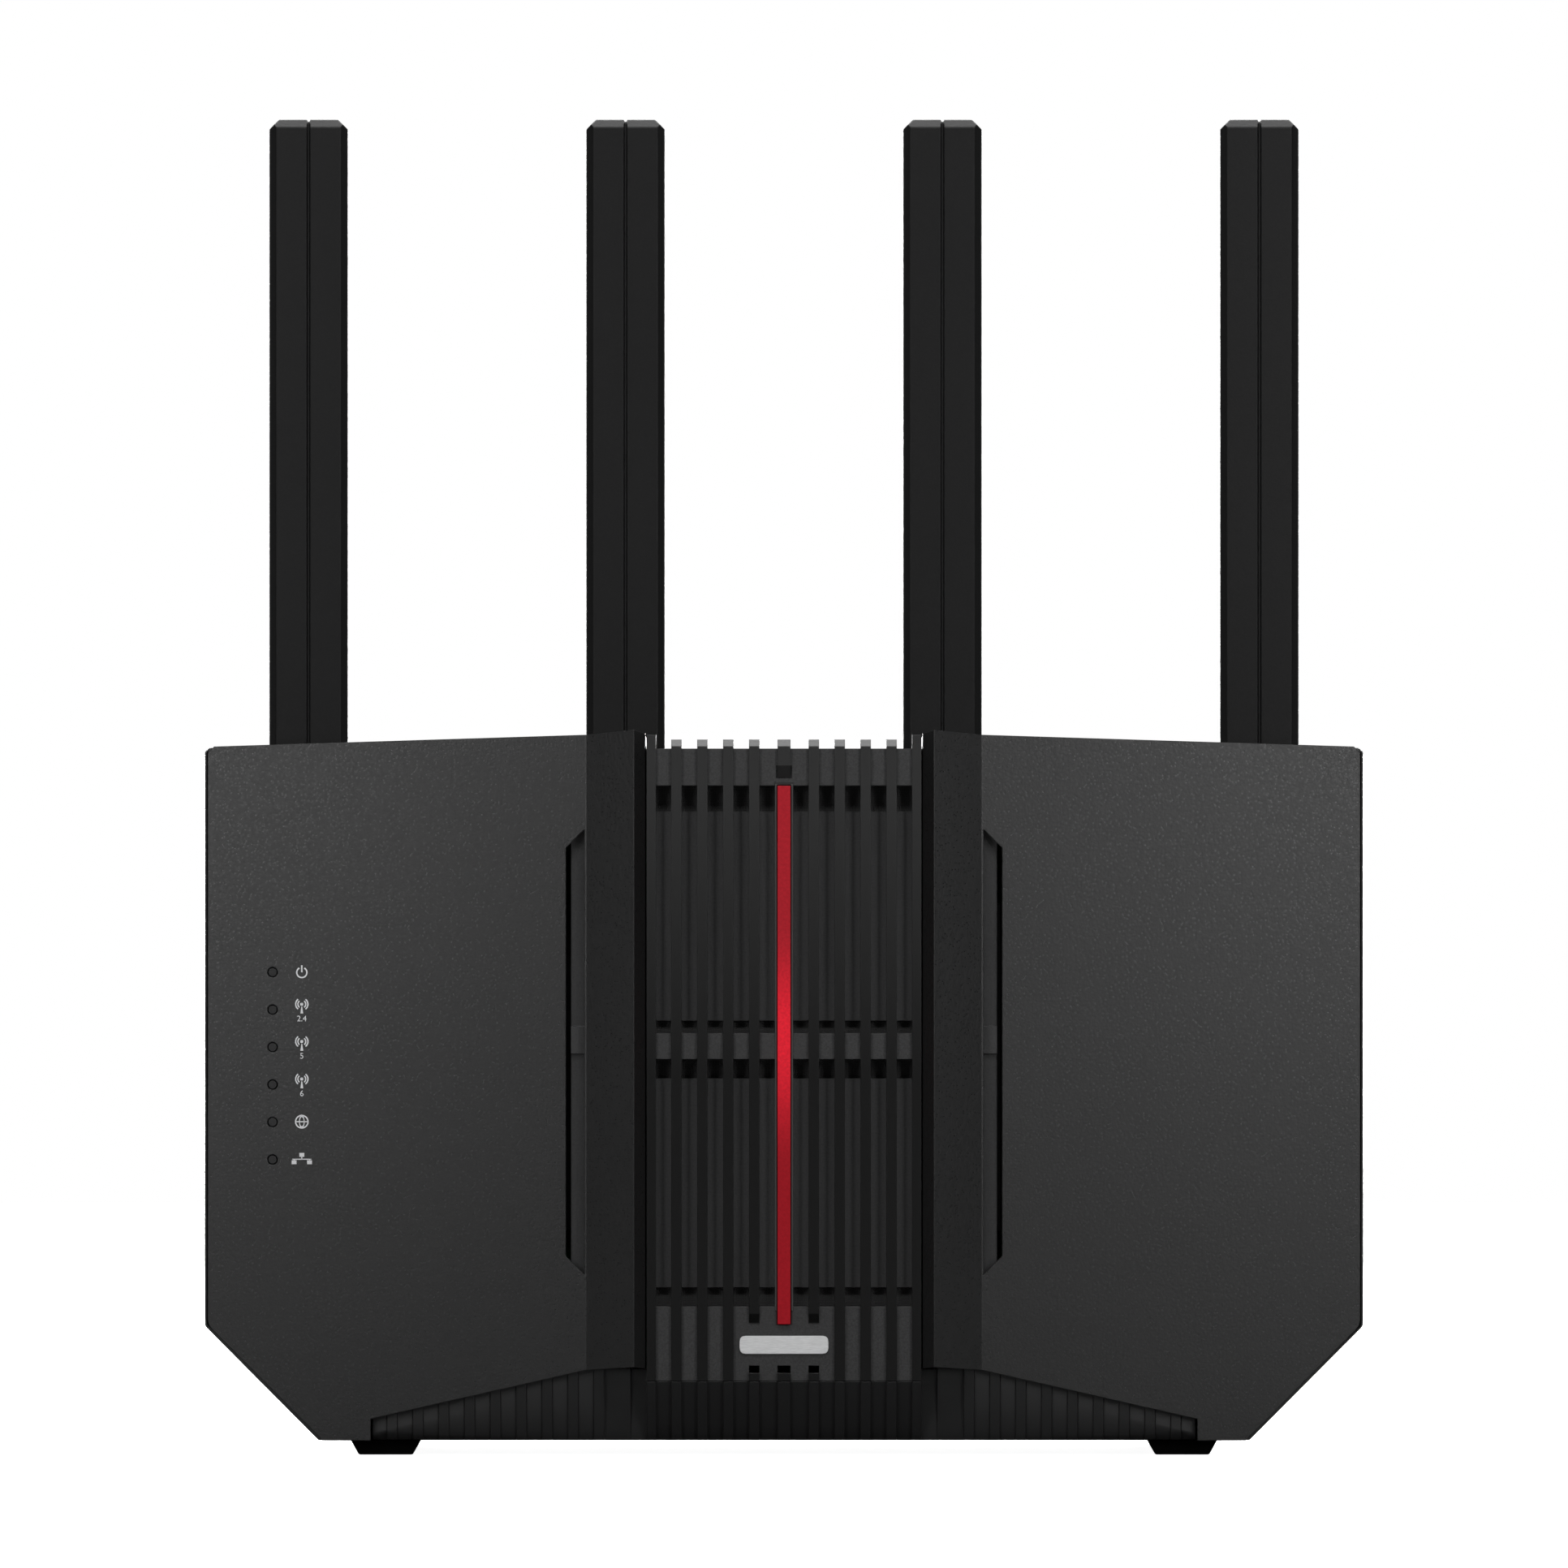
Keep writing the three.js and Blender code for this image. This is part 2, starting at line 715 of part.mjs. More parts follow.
// The housing from above, with a front edge that follows the wings.
function housingPlan() {
  const rimDepth = edgeDepth + rimSetback;
  const right = [
    [0, flangeDepth + rimSetback],
    [innerX + wall + rimSetback, flangeDepth + rimSetback],
    [foldX, foldDepth + rimSetback + wall],
    [coverEdgeX, rimDepth],
    [coverEdgeX + fitGap + rimLand, rimDepth],
    [halfWidth, rimDepth + rimFlare],
    [halfWidth, housingDepth + 1],
  ];
  const left = right.slice(1).reverse().map(([x, y]) => [-x, y]);
  return [...right, ...left];
}

// The space that the covers take, which the rim stands round at the sides.
function coverSpace() {
  const gap = fitGap;
  const cut = cornerLine - (cutReveal * Math.SQRT2 - gap * Math.SQRT2);
  const edge = coverEdgeX + gap;
  const right = [
    [cut - 20, -20],
    [edge, edge - cut],
    [edge, ridgeTop + 20],
  ];
  const left = right.slice().reverse().map(([x, z]) => [-x, z]);
  const plan = [
    [0, -5],
    [edge, -5],
    [edge, edgeDepth + wall + gap],
    [foldX, foldDepth + wall + gap],
    [innerX + wall + gap, flangeDepth + gap],
    [0, flangeDepth + gap],
  ];
  const planLeft = plan.slice(1, -1).reverse().map(([x, y]) => [-x, y]);
  const covers = prismZ([...plan, ...planLeft], -20, ridgeTop + 20).intersect(prismY([...right, ...left], -5, 60));
  const hood = [grilleHalf + gap, grilleTop - wall - gap];
  return covers.add(box(-hood[0], hood[0], 0, gridBack + gap, hood[1], ridgeTop + 5));
}

function bracket(x) {
  const half = antennaWidth / 2 + 0.6;
  const low = bracketTop - bracketHeight;
  const profile = [
    [upperDepth - wall / 2, low - bracketFoot],
    [upperDepth, low - bracketFoot],
    [hingeDepth + 4, low],
    [hingeDepth + half, low + 2],
    [hingeDepth + half, bracketTop],
    [upperDepth - wall / 2, bracketTop],
  ];
  const plan = [[x - half, upperDepth - wall]];
  for (let n = 0; n <= 12; n++) {
    const a = Math.PI - (Math.PI * n) / 12;
    plan.push([x + half * Math.cos(a), hingeDepth + half * Math.sin(a)]);
  }
  plan.push([x + half, upperDepth - wall]);
  const block = prismX(profile, x - half, x + half).intersect(prismZ(plan, 0, ridgeTop));
  const bore = cylinderZ(x, hingeDepth, stemRadius + runGap, bracketTop - stemLength - 1, bracketTop + 5, 24);
  return block.subtract(bore);
}

const backVent = { half: 74, low: 82, high: 110, width: 2.4 };
const topVent = { from: 22, to: 31 };
const lowPost = [boardHalfWidth - 16.5, 80];
const highPost = [boardHalfWidth - 32.5, boardTop - 7.3];
const boardPosts = [lowPost, highPost].flatMap(([x, z]) => [
  [-x, z],
  [x, z],
]);

// The flare of the rim along a cut corner, as the space outside it.
function cornerFlare() {
  const far = 30;
  const reach = far * 2;
  const front = edgeDepth + rimSetback;
  const slope = [
    [cutReveal - fitGap - rimLand / 2, front - far],
    [cutReveal - fitGap - rimLand / 2, front],
    [0, front + rimFlare],
    [-far, front + rimFlare],
    [-far, front - far],
  ];
  // Along the cut: the profile's first axis points into the body, its second runs back.
  const inward = new THREE.Vector3(-1, 0, 1).normalize();
  const along = new THREE.Vector3(1, 0, 1).normalize();
  const turn = new THREE.Matrix4().makeBasis(inward, new THREE.Vector3(0, 1, 0), along.negate());
  const middle = halfWidth - cornerCut / 2;
  turn.setPosition(middle + reach / Math.SQRT2, 0, middle - cornerLine + reach / Math.SQRT2);
  return solidOf(extruded(slope, 2 * reach).applyMatrix4(turn));
}

// The bare shell, before it is split into the housing and the port box.
function rearShell() {
  const outer = prismY(housingOutline(0), 0, housingDepth + 1)
    .intersect(prismX(housingProfile(0), -halfWidth, halfWidth))
    .intersect(prismZ(housingPlan(), 0, ridgeTop + 5));
  const inner = prismY(housingOutline(wall), -1, housingDepth)
    .intersect(prismX(housingProfile(wall), -halfWidth, halfWidth));
  const roomHalf = cutOuterX + 2 * fitGap;
  const skirtRoom = box(-roomHalf, roomHalf, 0, skirtBack + fitGap, 0, cutRidgeZ + 6);
  const flare = cornerFlare();
  return outer.subtract(inner).subtract(joined([coverSpace(), skirtRoom, flare, mirrored(flare)]));
}

// The port box is everything behind the upper back wall's plane, below its shoulder.
function behindSeam(from) {
  return box(-halfWidth - 1, halfWidth + 1, from, housingDepth + 5, 0, shoulderLow + 20);
}

function coverPost(x, z, back) {
  const front = wingDepth(Math.abs(x)) + wall + bossReach + seatGap;
  return cylinderY(x, z, bossRadius + 0.4, front, back, 12);
}

function rearHousing() {
  const posts = boardPosts.map(([x, z]) => cylinderY(x, z, 3.2, boardBack + seatGap, upperWallInner + 1, 12));
  const [x, z] = screwPlaces[0];
  posts.push(coverPost(x, z, upperWallInner + 1), coverPost(-x, z, upperWallInner + 1));
  const shell = joined([rearShell().subtract(behindSeam(upperDepth)), ...antennaX.map(bracket), ...posts]);
  return shell.subtract(joined(housingVents()));
}

function portBox() {
  const [x, z] = screwPlaces[1];
  const shell = rearShell().intersect(behindSeam(upperDepth + seatGap));
  const posts = [coverPost(x, z, backWallInner + 1), coverPost(-x, z, backWallInner + 1)];
  return joined([shell, ...posts]).subtract(joined(portOpenings()));
}

// Slots low between the antennas at the back, and a short row along the top behind the grille.
function housingVents() {
  const cuts = [];
  for (let x = -backVent.half; x <= backVent.half + 0.1; x += barPitch) {
    if (antennaX.some((a) => Math.abs(a - x) < antennaWidth / 2 + 3)) continue;
    const from = [x - backVent.width / 2, x + backVent.width / 2];
    cuts.push(box(...from, upperWallInner - 1, upperDepth + 1, backVent.low, backVent.high));
  }
  for (let n = 0; n < barsPerSide; n++) {
    const x = firstBarX + (n - 0.5) * barPitch;
    for (const side of [-1, 1]) {
      const middle = side * x;
      cuts.push(box(middle - 1.2, middle + 1.2, topVent.from, topVent.to, ridgeTop - 12, ridgeTop + 1));
    }
  }
  return cuts;
}

// Windows for the sockets and buttons. The four local jacks share one window.
function portOpenings() {
  const through = [backWallInner - 1, housingDepth + 1];
  const window = (x, z, width, height) =>
    box(x - width / 2, x + width / 2, ...through, z - height / 2, z + height / 2);
  const lanMiddle = lanFirstX - 1.5 * lanPitch;
  const lanWidth = 3 * lanPitch + jackWidth;
  return [
    window(wanX, portZ, jackWidth + 2 * fitGap, jackHeight + 2 * fitGap),
    window(lanMiddle, portZ, lanWidth + 2 * fitGap, jackHeight + 2 * fitGap),
    window(usbX, portZ, usbSize[0] + 2 * fitGap, usbSize[1] + 2 * fitGap),
    window(powerX, portZ, powerCap + 2 * fitGap, powerCap + 2 * fitGap),
    cylinderY(dcX, portZ, dcRadius + fitGap, ...through, 16),
    cylinderY(wpsX, portZ, wpsRadius + fitGap, ...through, 16),
    cylinderY(resetX, portZ, resetRadius + fitGap, ...through, 12),
  ];
}

// ---------------------------------------------------------------- sockets and buttons

const usbSize = [14.2, 6.9];
const dcRadius = 4.6;
const dcHollow = 3.2;
const powerCap = 8.4;
const wpsRadius = 2.9;
const resetRadius = 1.1;
const portFace = housingDepth - portRecess;

function jackXs() {
  const lans = [0, 1, 2, 3].map((n) => lanFirstX - n * lanPitch);
  return [wanX, ...lans];
}

function jack(x) {
  const front = boardBack + seatGap;
  const high = portZ + jackHeight / 2;
  const body = box(x - jackWidth / 2, x + jackWidth / 2, front, portFace, portZ - jackHeight / 2, high);
  const mouthTop = portZ + 4.2;
  const [width, height] = jackMouth;
  const mouth = box(x - width / 2, x + width / 2, portFace - jackPocket, portFace + 1, mouthTop - height, mouthTop);
  const [latchWidth, latchHeight] = jackLatch;
  const latchTop = mouthTop - height + 0.01;
  const latch = box(
    x - latchWidth / 2,
    x + latchWidth / 2,
    portFace - jackPocket,
    portFace + 1,
    latchTop - latchHeight,
    latchTop,
  );
  return body.subtract(mouth).subtract(latch);
}

// A metal shell with a plastic tongue standing in it.
function usbPort() {
  const [width, height] = usbSize;
  const front = portFace - 18;
  const skin = 0.5;
  const x = [usbX - width / 2, usbX + width / 2];
  const z = [portZ - height / 2, portZ + height / 2];
  const shell = box(...x, front, portFace, ...z);
  const hollow = box(x[0] + skin, x[1] - skin, front + 1, portFace + 1, z[0] + skin, z[1] - skin);
  const top = z[1] - skin - 0.9;
  const tongue = box(usbX - 5.5, usbX + 5.5, front + 0.5, portFace - 4.6, top - 1.9, top);
  return shell.subtract(hollow).add(tongue);
}

function dcInlet() {
  const front = portFace - 14;
  const nose = cylinderY(dcX, portZ, dcRadius, front, portFace, 16);
  const block = box(dcX - 4.6, dcX + 4.6, front, backWallInner - 1.2, portZ - 5.4, portZ + 5.4);
  return nose.add(block).subtract(cylinderY(dcX, portZ, dcHollow, front + 2, portFace + 1, 12));
}

function dcPin() {
  return cylinderY(dcX, portZ, 1, portFace - 12 + seatGap, portFace - 4.8, 10);
}

// A cap that stands out of the back wall, with a collar inside and a stem towards its switch.
function powerButton() {
  const half = powerCap / 2;
  const cap = box(powerX - half, powerX + half, backWallInner - 2, housingDepth + 1.9, portZ - half, portZ + half);
  const wide = half + 1.1;
  const collar = [backWallInner - 2.2, backWallInner - seatGap];
  const flange = box(powerX - wide, powerX + wide, ...collar, portZ - wide, portZ + wide);
  const stem = cylinderY(powerX, portZ, 2, switchFace + powerTravel + fitGap, backWallInner - 2, 12);
  return joined([cap, flange, stem]);
}

function roundButton(x, radius, proud, travel) {
  const cap = cylinderY(x, portZ, radius, backWallInner - 2, housingDepth + proud, 20);
  const collar = cylinderY(x, portZ, radius + 1.1, backWallInner - 1.8, backWallInner - seatGap, 20);
  const stem = cylinderY(x, portZ, Math.min(radius, 1.6), switchFace + travel + fitGap, backWallInner - 1.5, 12);
  return joined([cap, collar, stem]);
}

// Switches on the board, one behind each button.
const switchHeight = 6;
const switchFace = boardBack + switchHeight;
function boardSwitches() {
  const places = [powerX, wpsX, resetX];
  return places.map((x) => box(x - 3, x + 3, boardBack - 0.5, switchFace, portZ - 3, portZ + 3));
}

// ---------------------------------------------------------------- inside

// The board, with its switches and status lights soldered on.
function mainBoard() {
  const bottomHalf = cornerLine + boardBottom - 8;
  const outline = [
    [-bottomHalf, boardBottom],
    [bottomHalf, boardBottom],
    [boardHalfWidth, boardBottom + boardHalfWidth - bottomHalf],
    [boardHalfWidth, boardTop],
    [-boardHalfWidth, boardTop],
    [-boardHalfWidth, boardBottom + boardHalfWidth - bottomHalf],
  ];
  const holes = boardPosts.map(([x, z]) => cylinderY(x, z, 1.4, boardFace - 1, boardBack + 1, 10));
  const board = joined([prismY(outline, boardFace, boardBack), ...boardSwitches(), ...statusLeds()]);
  return holes.reduce((left, hole) => left.subtract(hole), board);
}

// The shield can over the radios, as [x, z, half width, half height].
const radioCan = [0, 104, 50, 21];

function shieldCan() {
  const back = boardFace - seatGap;
  const [x, z, w, h] = radioCan;
  return box(x - w, x + w, back - shieldHeight, back, z - h, z + h);
}

function heatSink() {
  const back = boardFace - shieldHeight - 2 * seatGap;
  const front = back - sinkBase;
  const low = 52;
  const high = 128;
  const solids = [box(-sinkHalfWidth, sinkHalfWidth, front, back, low, high)];
  for (let x = -sinkHalfWidth; x <= sinkHalfWidth - finThickness + 0.01; x += finPitch) {
    solids.push(box(x, x + finThickness, front - sinkFin, front + 0.5, low, high));
  }
  return joined(solids);
}

const ledHeight = 0.8;
function statusLeds() {
  const front = boardFace - ledHeight;
  const leds = [];
  for (let n = 0; n < ledCount; n++) {
    leds.push(box(ledX - 0.8, ledX + 0.8, front, boardFace + 0.2, ledZ(n) - 0.6, ledZ(n) + 0.6));
  }
  return leds;
}

// One clear moulding: a pin behind each hole in the wing, all on one runner.
function lightPipes() {
  const face = wingDepth(-ledX) + 0.25;
  const end = boardFace - ledHeight - seatGap;
  const runner = wingDepth(-ledX) + wall + 4;
  const top = ledZ(ledCount - 1) + 3;
  const solids = [box(ledX - 2.2, ledX + 2.2, runner, runner + 2, ledZ(0) - 3, top)];
  for (let n = 0; n < ledCount; n++) {
    solids.push(cylinderY(ledX, ledZ(n), ledPin / 2, face, end, 14));
  }
  return joined(solids);
}

// A coax lead from the board's top edge to the wall inside an antenna's bracket.
const leadRadius = 0.7;
const leadDrop = 10;
function antennaLead(x) {
  const wallFace = upperWallInner - leadRadius - 0.6;
  const inward = x > 0 ? -1 : 1;
  const z = boardTop - 3;
  const route = [
    [x + inward * 9, boardBack + 1.1, z - 12],
    [x + inward * 8, boardBack + 2.2, z - 5],
    [x + inward * 4, boardBack + 4, z - 1],
    [x, wallFace - 0.8, z - 5],
    [x, wallFace, bracketTop - leadDrop + 6],
    [x, wallFace, bracketTop - leadDrop],
  ];
  return tube(route, leadRadius, 12, 6);
}

// ---------------------------------------------------------------- stand, feet, label, screws

function stand() {
  const front = standFront + fitGap;
  const seat = standZ - seatGap;
  const rearTop = bodyBottom + standRear;
  const profile = [
    [front, bodyBottom],
    [totalDepth, bodyBottom],
    [totalDepth, rearTop],
    [housingDepth + 1, seat],
    [front, seat],
  ];
  const cut = 12;
  const plan = [
    [-standHalfWidth, front - 1],
    [standHalfWidth, front - 1],
    [standHalfWidth, totalDepth - cut],
    [standHalfWidth - cut, totalDepth],
    [-standHalfWidth + cut, totalDepth],
    [-standHalfWidth, totalDepth - cut],
  ];
  const block = prismX(profile, -standHalfWidth, standHalfWidth).intersect(prismZ(plan, 0, 40));
  const pocket = [
    [front + wall, bodyBottom - 1],
    [totalDepth - 4, bodyBottom - 1],
    [totalDepth - 4, rearTop - 1.6],
    [housingDepth, seat - wall],
    [front + wall, seat - wall],
  ];
  const reach = footX - 11;
  const spans = 4;
  const step = (2 * reach) / spans;
  let made = block;
  for (let n = 0; n < spans; n++) {
    const from = -reach + n * step + 0.9;
    made = made.subtract(prismX(pocket, from, from + step - 1.8));
  }
  return made;
}

// A trapezoid rubber foot with its narrow side down.
function foot(x, y, topWidth, topDepth) {
  const taper = 2;
  const outline = [
    [x - topWidth / 2 + taper, 0],
    [x + topWidth / 2 - taper, 0],
    [x + topWidth / 2, footHeight - seatGap],
    [x - topWidth / 2, footHeight - seatGap],
  ];
  return prismY(outline, y - topDepth / 2, y + topDepth / 2);
}

const labelHalf = 24;
const labelThickness = 0.3;
const labelBottom = 116;
const labelTop = 138;
function ratingLabel() {
  const front = upperDepth + seatGap;
  return box(-labelHalf, labelHalf, front, front + labelThickness, labelBottom, labelTop);
}

function housingScrew(x, z) {
  const back = z > shoulderLow ? upperDepth : housingDepth;
  return cylinderY(x, z, 2.8, back + seatGap, back + 1.5, 14);
}

// ---------------------------------------------------------------- antennas

// A knuckle turns in its bracket on a stem, and its tongue carries the fold pin.
function knuckle(x) {
  const base = bracketTop + seatGap;
  const stem = cylinderZ(x, hingeDepth, stemRadius, bracketTop - stemLength, base + 1, 24);
  const disc = cylinderZ(x, hingeDepth, knuckleRadius, base, base + knuckleBase, 28);
  const half = tongueWidth / 2;
  const radius = antennaThickness / 2;
  const neck = box(x - half, x + half, hingeDepth - radius, hingeDepth + radius, base + 1, hingeZ);
  const eye = cylinderX(hingeDepth, hingeZ, radius, x - half, x + half, 24);
  const hole = cylinderX(hingeDepth, hingeZ, pinRadius + runGap, x - half - 1, x + half + 1, 16);
  return joined([stem, disc, neck, eye]).subtract(hole);
}

// The whole blade, before it is split into two shells.
function blade(x) {
  const half = antennaWidth / 2;
  const tip = hingeZ + antennaReach;
  const front = hingeDepth - antennaThickness / 2;
  const back = hingeDepth + antennaThickness / 2;
  const c = antennaChamfer;
  const plan = [
    [x - half, front + c],
    [x - half + c, front],
    [x + half - c, front],
    [x + half, front + c],
    [x + half, back - c],
    [x + half - c, back],
    [x - half + c, back],
    [x - half, back - c],
  ];
  const outline = [
    [x - half, 0],
    [x + half, 0],
    [x + half, tip - antennaCorner],
    [x + half - antennaCorner, tip],
    [x - half + antennaCorner, tip],
    [x - half, tip - antennaCorner],
  ];
  const radius = antennaThickness / 2;
  const side = [[back, hingeZ]];
  side.push([back, tip - 0.6], [back - c, tip], [front + c, tip], [front, tip - 1.9], [front, hingeZ]);
  for (let n = 1; n < 12; n++) {
    const a = Math.PI + (Math.PI * n) / 12;
    side.push([hingeDepth + radius * Math.cos(a), hingeZ + radius * Math.sin(a)]);
  }
  const whole = prismZ(plan, 0, tip + 1)
    .intersect(prismY(outline, front - 1, back + 1))
    .intersect(prismX(side, x - half, x + half));
  const slot = box(x - slotWidth / 2, x + slotWidth / 2, front - 1, back + 1, 0, hingeZ + slotReach);
  const bore = cylinderX(hingeDepth, hingeZ, pinRadius + runGap, x - half + 1.2, x + half - 1.2, 16);
  const g = grooveWidth / 2;
  const groove = box(x - g, x + g, front - 1, front + grooveDepth, 0, tip + 1);
  const notch = box(x - g, x + g, front - 1, back + 1, tip - grooveDepth / 2, tip + 1);
  return whole.subtract(joined([slot, bore, groove, notch]));
}

function bladeCavity(x) {
  const half = antennaWidth / 2 - shellWall - antennaChamfer;
  const deep = antennaThickness / 2 - shellWall;
  const low = hingeZ + slotReach + 2.5;
  const high = hingeZ + antennaReach - 4;
  return box(x - half, x + half, hingeDepth - deep, hingeDepth + deep, low, high);
}

function bladeHalf(x, isFront) {
  const far = 30;
  const from = isFront ? hingeDepth - far : hingeDepth + shellSeam / 2;
  const to = isFront ? hingeDepth - shellSeam / 2 : hingeDepth + far;
  const half = box(x - far, x + far, from, to, 0, hingeZ + antennaReach + 5);
  return blade(x).subtract(bladeCavity(x)).intersect(half);
}

function foldPin(x) {
  const half = antennaWidth / 2 - 1.5;
  return cylinderX(hingeDepth, hingeZ, pinRadius, x - half, x + half, 16);
}

// The printed radiator strip inside a blade.
function radiator(x) {
  const low = hingeZ + slotReach + 12;
  const high = hingeZ + antennaReach - 14;
  return box(x - 4.6, x + 4.6, hingeDepth - 0.4, hingeDepth + 0.4, low, high);
}

// ---------------------------------------------------------------- assembly

const router = new THREE.Group();
const body = new THREE.Group(); // depths run back from the ridges inside this group
body.position.y = -totalDepth / 2;
router.add(body);

function add(name, solid, material) {
  const made = solid.getMesh();
  const geometry = new THREE.BufferGeometry();
  const corners = new Float32Array(made.vertProperties);
  geometry.setAttribute("position", new THREE.BufferAttribute(corners, made.numProp));
  geometry.setIndex(new THREE.BufferAttribute(new Uint32Array(made.triVerts), 1));
  geometry.computeVertexNormals();
  const mesh = new THREE.Mesh(geometry, material);
  mesh.name = name;
  body.add(mesh);
}

add("wing_cover_left", leftWing(), texturedBlack);
add("wing_cover_right", rightWing(), texturedBlack);
add("center_grille", grille(), smoothBlack);
add("louvre_plate", louvrePlate(), housingBlack);
add("side_louvre_left", mirrored(sideLouvre()), housingBlack);
add("side_louvre_right", sideLouvre(), housingBlack);
add("accent_strip", accentStrip(), accentRed);
add("front_badge", badge(), badgeSilver);
add("lower_skirt", skirt(), smoothBlack);
add("rear_housing", rearHousing(), housingBlack);
add("port_box", portBox(), housingBlack);

add("stand_base", stand(), housingBlack);
for (const [side, label] of [[-1, "left"], [1, "right"]]) {
  add(`foot_front_${label}`, foot(side * footX, frontFootDepth, 16.5, 11), rubberBlack);
  add(`foot_rear_${label}`, foot(side * footX, rearFootDepth, 12, 11), rubberBlack);
}

add("light_pipe_comb", lightPipes(), clearPipe);
add("main_board", mainBoard(), boardGreen);
add("shield_can", shieldCan(), steel);
add("heat_sink", heatSink(), sinkMetal);

jackXs().forEach((x, n) => {
  add(n ? `lan_jack_${n}` : "wan_jack", jack(x), n ? jackGrey : jackBlue);
});
add("usb_port", usbPort(), steel);
add("dc_inlet", dcInlet(), smoothBlack);
add("dc_pin", dcPin(), steel);
add("power_button", powerButton(), smoothBlack);
add("wps_button", roundButton(wpsX, wpsRadius, 1.2, wpsTravel), smoothBlack);
add("reset_button", roundButton(resetX, resetRadius, -1.2, resetTravel), smoothBlack);
add("rating_label", ratingLabel(), labelGrey);
const screwNames = ["upper", "lower"];
screwPlaces.forEach(([x, z], n) => {
  add(`housing_screw_${screwNames[n]}_left`, housingScrew(-x, z), steel);
  add(`housing_screw_${screwNames[n]}_right`, housingScrew(x, z), steel);
});

antennaX.forEach((x, n) => {
  const name = `antenna_${n + 1}`;
  add(`${name}_knuckle`, knuckle(x), smoothBlack);
  add(`${name}_front_shell`, bladeHalf(x, true), smoothBlack);
  add(`${name}_rear_shell`, bladeHalf(x, false), smoothBlack);
  add(`${name}_fold_pin`, foldPin(x), steel);
  add(`${name}_radiator`, radiator(x), gold);
  add(`${name}_lead`, antennaLead(x), leadGrey);
});

export default router;
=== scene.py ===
import math
import bpy
from mathutils import Matrix, Vector
from mathutils.bvhtree import BVHTree


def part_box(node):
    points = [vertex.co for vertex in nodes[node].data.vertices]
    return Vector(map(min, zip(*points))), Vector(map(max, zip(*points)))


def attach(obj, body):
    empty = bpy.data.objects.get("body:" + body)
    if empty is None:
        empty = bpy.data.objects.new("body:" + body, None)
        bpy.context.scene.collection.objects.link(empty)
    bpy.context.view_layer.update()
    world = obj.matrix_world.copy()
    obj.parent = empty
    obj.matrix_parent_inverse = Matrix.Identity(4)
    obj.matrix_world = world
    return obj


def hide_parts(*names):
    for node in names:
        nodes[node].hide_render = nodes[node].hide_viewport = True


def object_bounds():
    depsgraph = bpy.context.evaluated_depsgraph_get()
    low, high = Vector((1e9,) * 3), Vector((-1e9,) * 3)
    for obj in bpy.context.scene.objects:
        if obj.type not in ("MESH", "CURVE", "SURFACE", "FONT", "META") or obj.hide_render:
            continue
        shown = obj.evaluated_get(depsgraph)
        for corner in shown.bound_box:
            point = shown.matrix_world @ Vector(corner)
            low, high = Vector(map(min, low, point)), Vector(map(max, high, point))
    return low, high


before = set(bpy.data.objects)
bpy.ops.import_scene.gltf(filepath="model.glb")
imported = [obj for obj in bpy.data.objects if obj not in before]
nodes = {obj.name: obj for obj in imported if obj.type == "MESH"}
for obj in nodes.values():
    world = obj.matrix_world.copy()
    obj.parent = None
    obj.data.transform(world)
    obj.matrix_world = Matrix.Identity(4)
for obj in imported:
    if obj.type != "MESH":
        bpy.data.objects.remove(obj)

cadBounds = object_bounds()
millimetre = 0.001
antennaNames = [f"antenna_{n}" for n in range(1, 5)]
jackNames = ["wan_jack"] + [f"lan_jack_{n}" for n in range(1, 5)]
print("frame: loaded", len(nodes), "parts")


# Selection and modelling helpers

def only(piece):
    bpy.ops.object.select_all(action="DESELECT")
    piece.select_set(True)
    bpy.context.view_layer.objects.active = piece
    return piece


def named(name, piece=None):
    piece = piece or bpy.context.active_object
    piece.name = name
    piece.data.name = name
    return piece


# Selects the faces that a rule picks out, in edit mode.
def pickFaces(piece, rule):
    bpy.ops.object.mode_set(mode="OBJECT")
    for edge in piece.data.edges:
        edge.select = False
    for vertex in piece.data.vertices:
        vertex.select = False
    for face in piece.data.polygons:
        face.select = rule(face)
    bpy.context.tool_settings.mesh_select_mode = (False, False, True)
    bpy.ops.object.mode_set(mode="EDIT")


def settle(piece):
    only(piece)
    bpy.ops.object.transform_apply(location=True, rotation=True, scale=True)
    return piece


def tidyNormals(piece):
    only(piece)
    bpy.ops.object.mode_set(mode="EDIT")
    bpy.ops.mesh.select_all(action="SELECT")
    bpy.ops.mesh.remove_doubles(threshold=1e-6)
    bpy.ops.mesh.normals_make_consistent(inside=False)
    bpy.ops.object.mode_set(mode="OBJECT")
    return piece


def joinAll(pieces, name):
    bpy.ops.object.select_all(action="DESELECT")
    for piece in pieces:
        piece.select_set(True)
    bpy.context.view_layer.objects.active = pieces[0]
    if len(pieces) > 1:
        bpy.ops.object.join()
    return named(name)


def copyOf(piece, name, shift):
    twin = piece.copy()
    twin.data = piece.data.copy()
    twin.name = name
    bpy.context.collection.objects.link(twin)
    twin.data.transform(Matrix.Translation(shift))
    return twin


def finishPiece(piece, body, material):
    piece.data.materials.clear()
    piece.data.materials.append(material)
    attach(piece, body)
    return piece


# Where a line along Y first meets a CAD part, and how far the surface there is turned from facing -Y.
def surfaceAt(name, x, z, fromBehind=False):
    mesh = nodes[name].data
    corners = [vertex.co[:] for vertex in mesh.vertices]
    skin = BVHTree.FromPolygons(corners, [tuple(face.vertices) for face in mesh.polygons])
    start = Vector((x, 1 if fromBehind else -1, z))
    place, normal, face, distance = skin.ray_cast(start, Vector((0, -1 if fromBehind else 1, 0)))
    return place, math.atan2(normal.x, -normal.y)


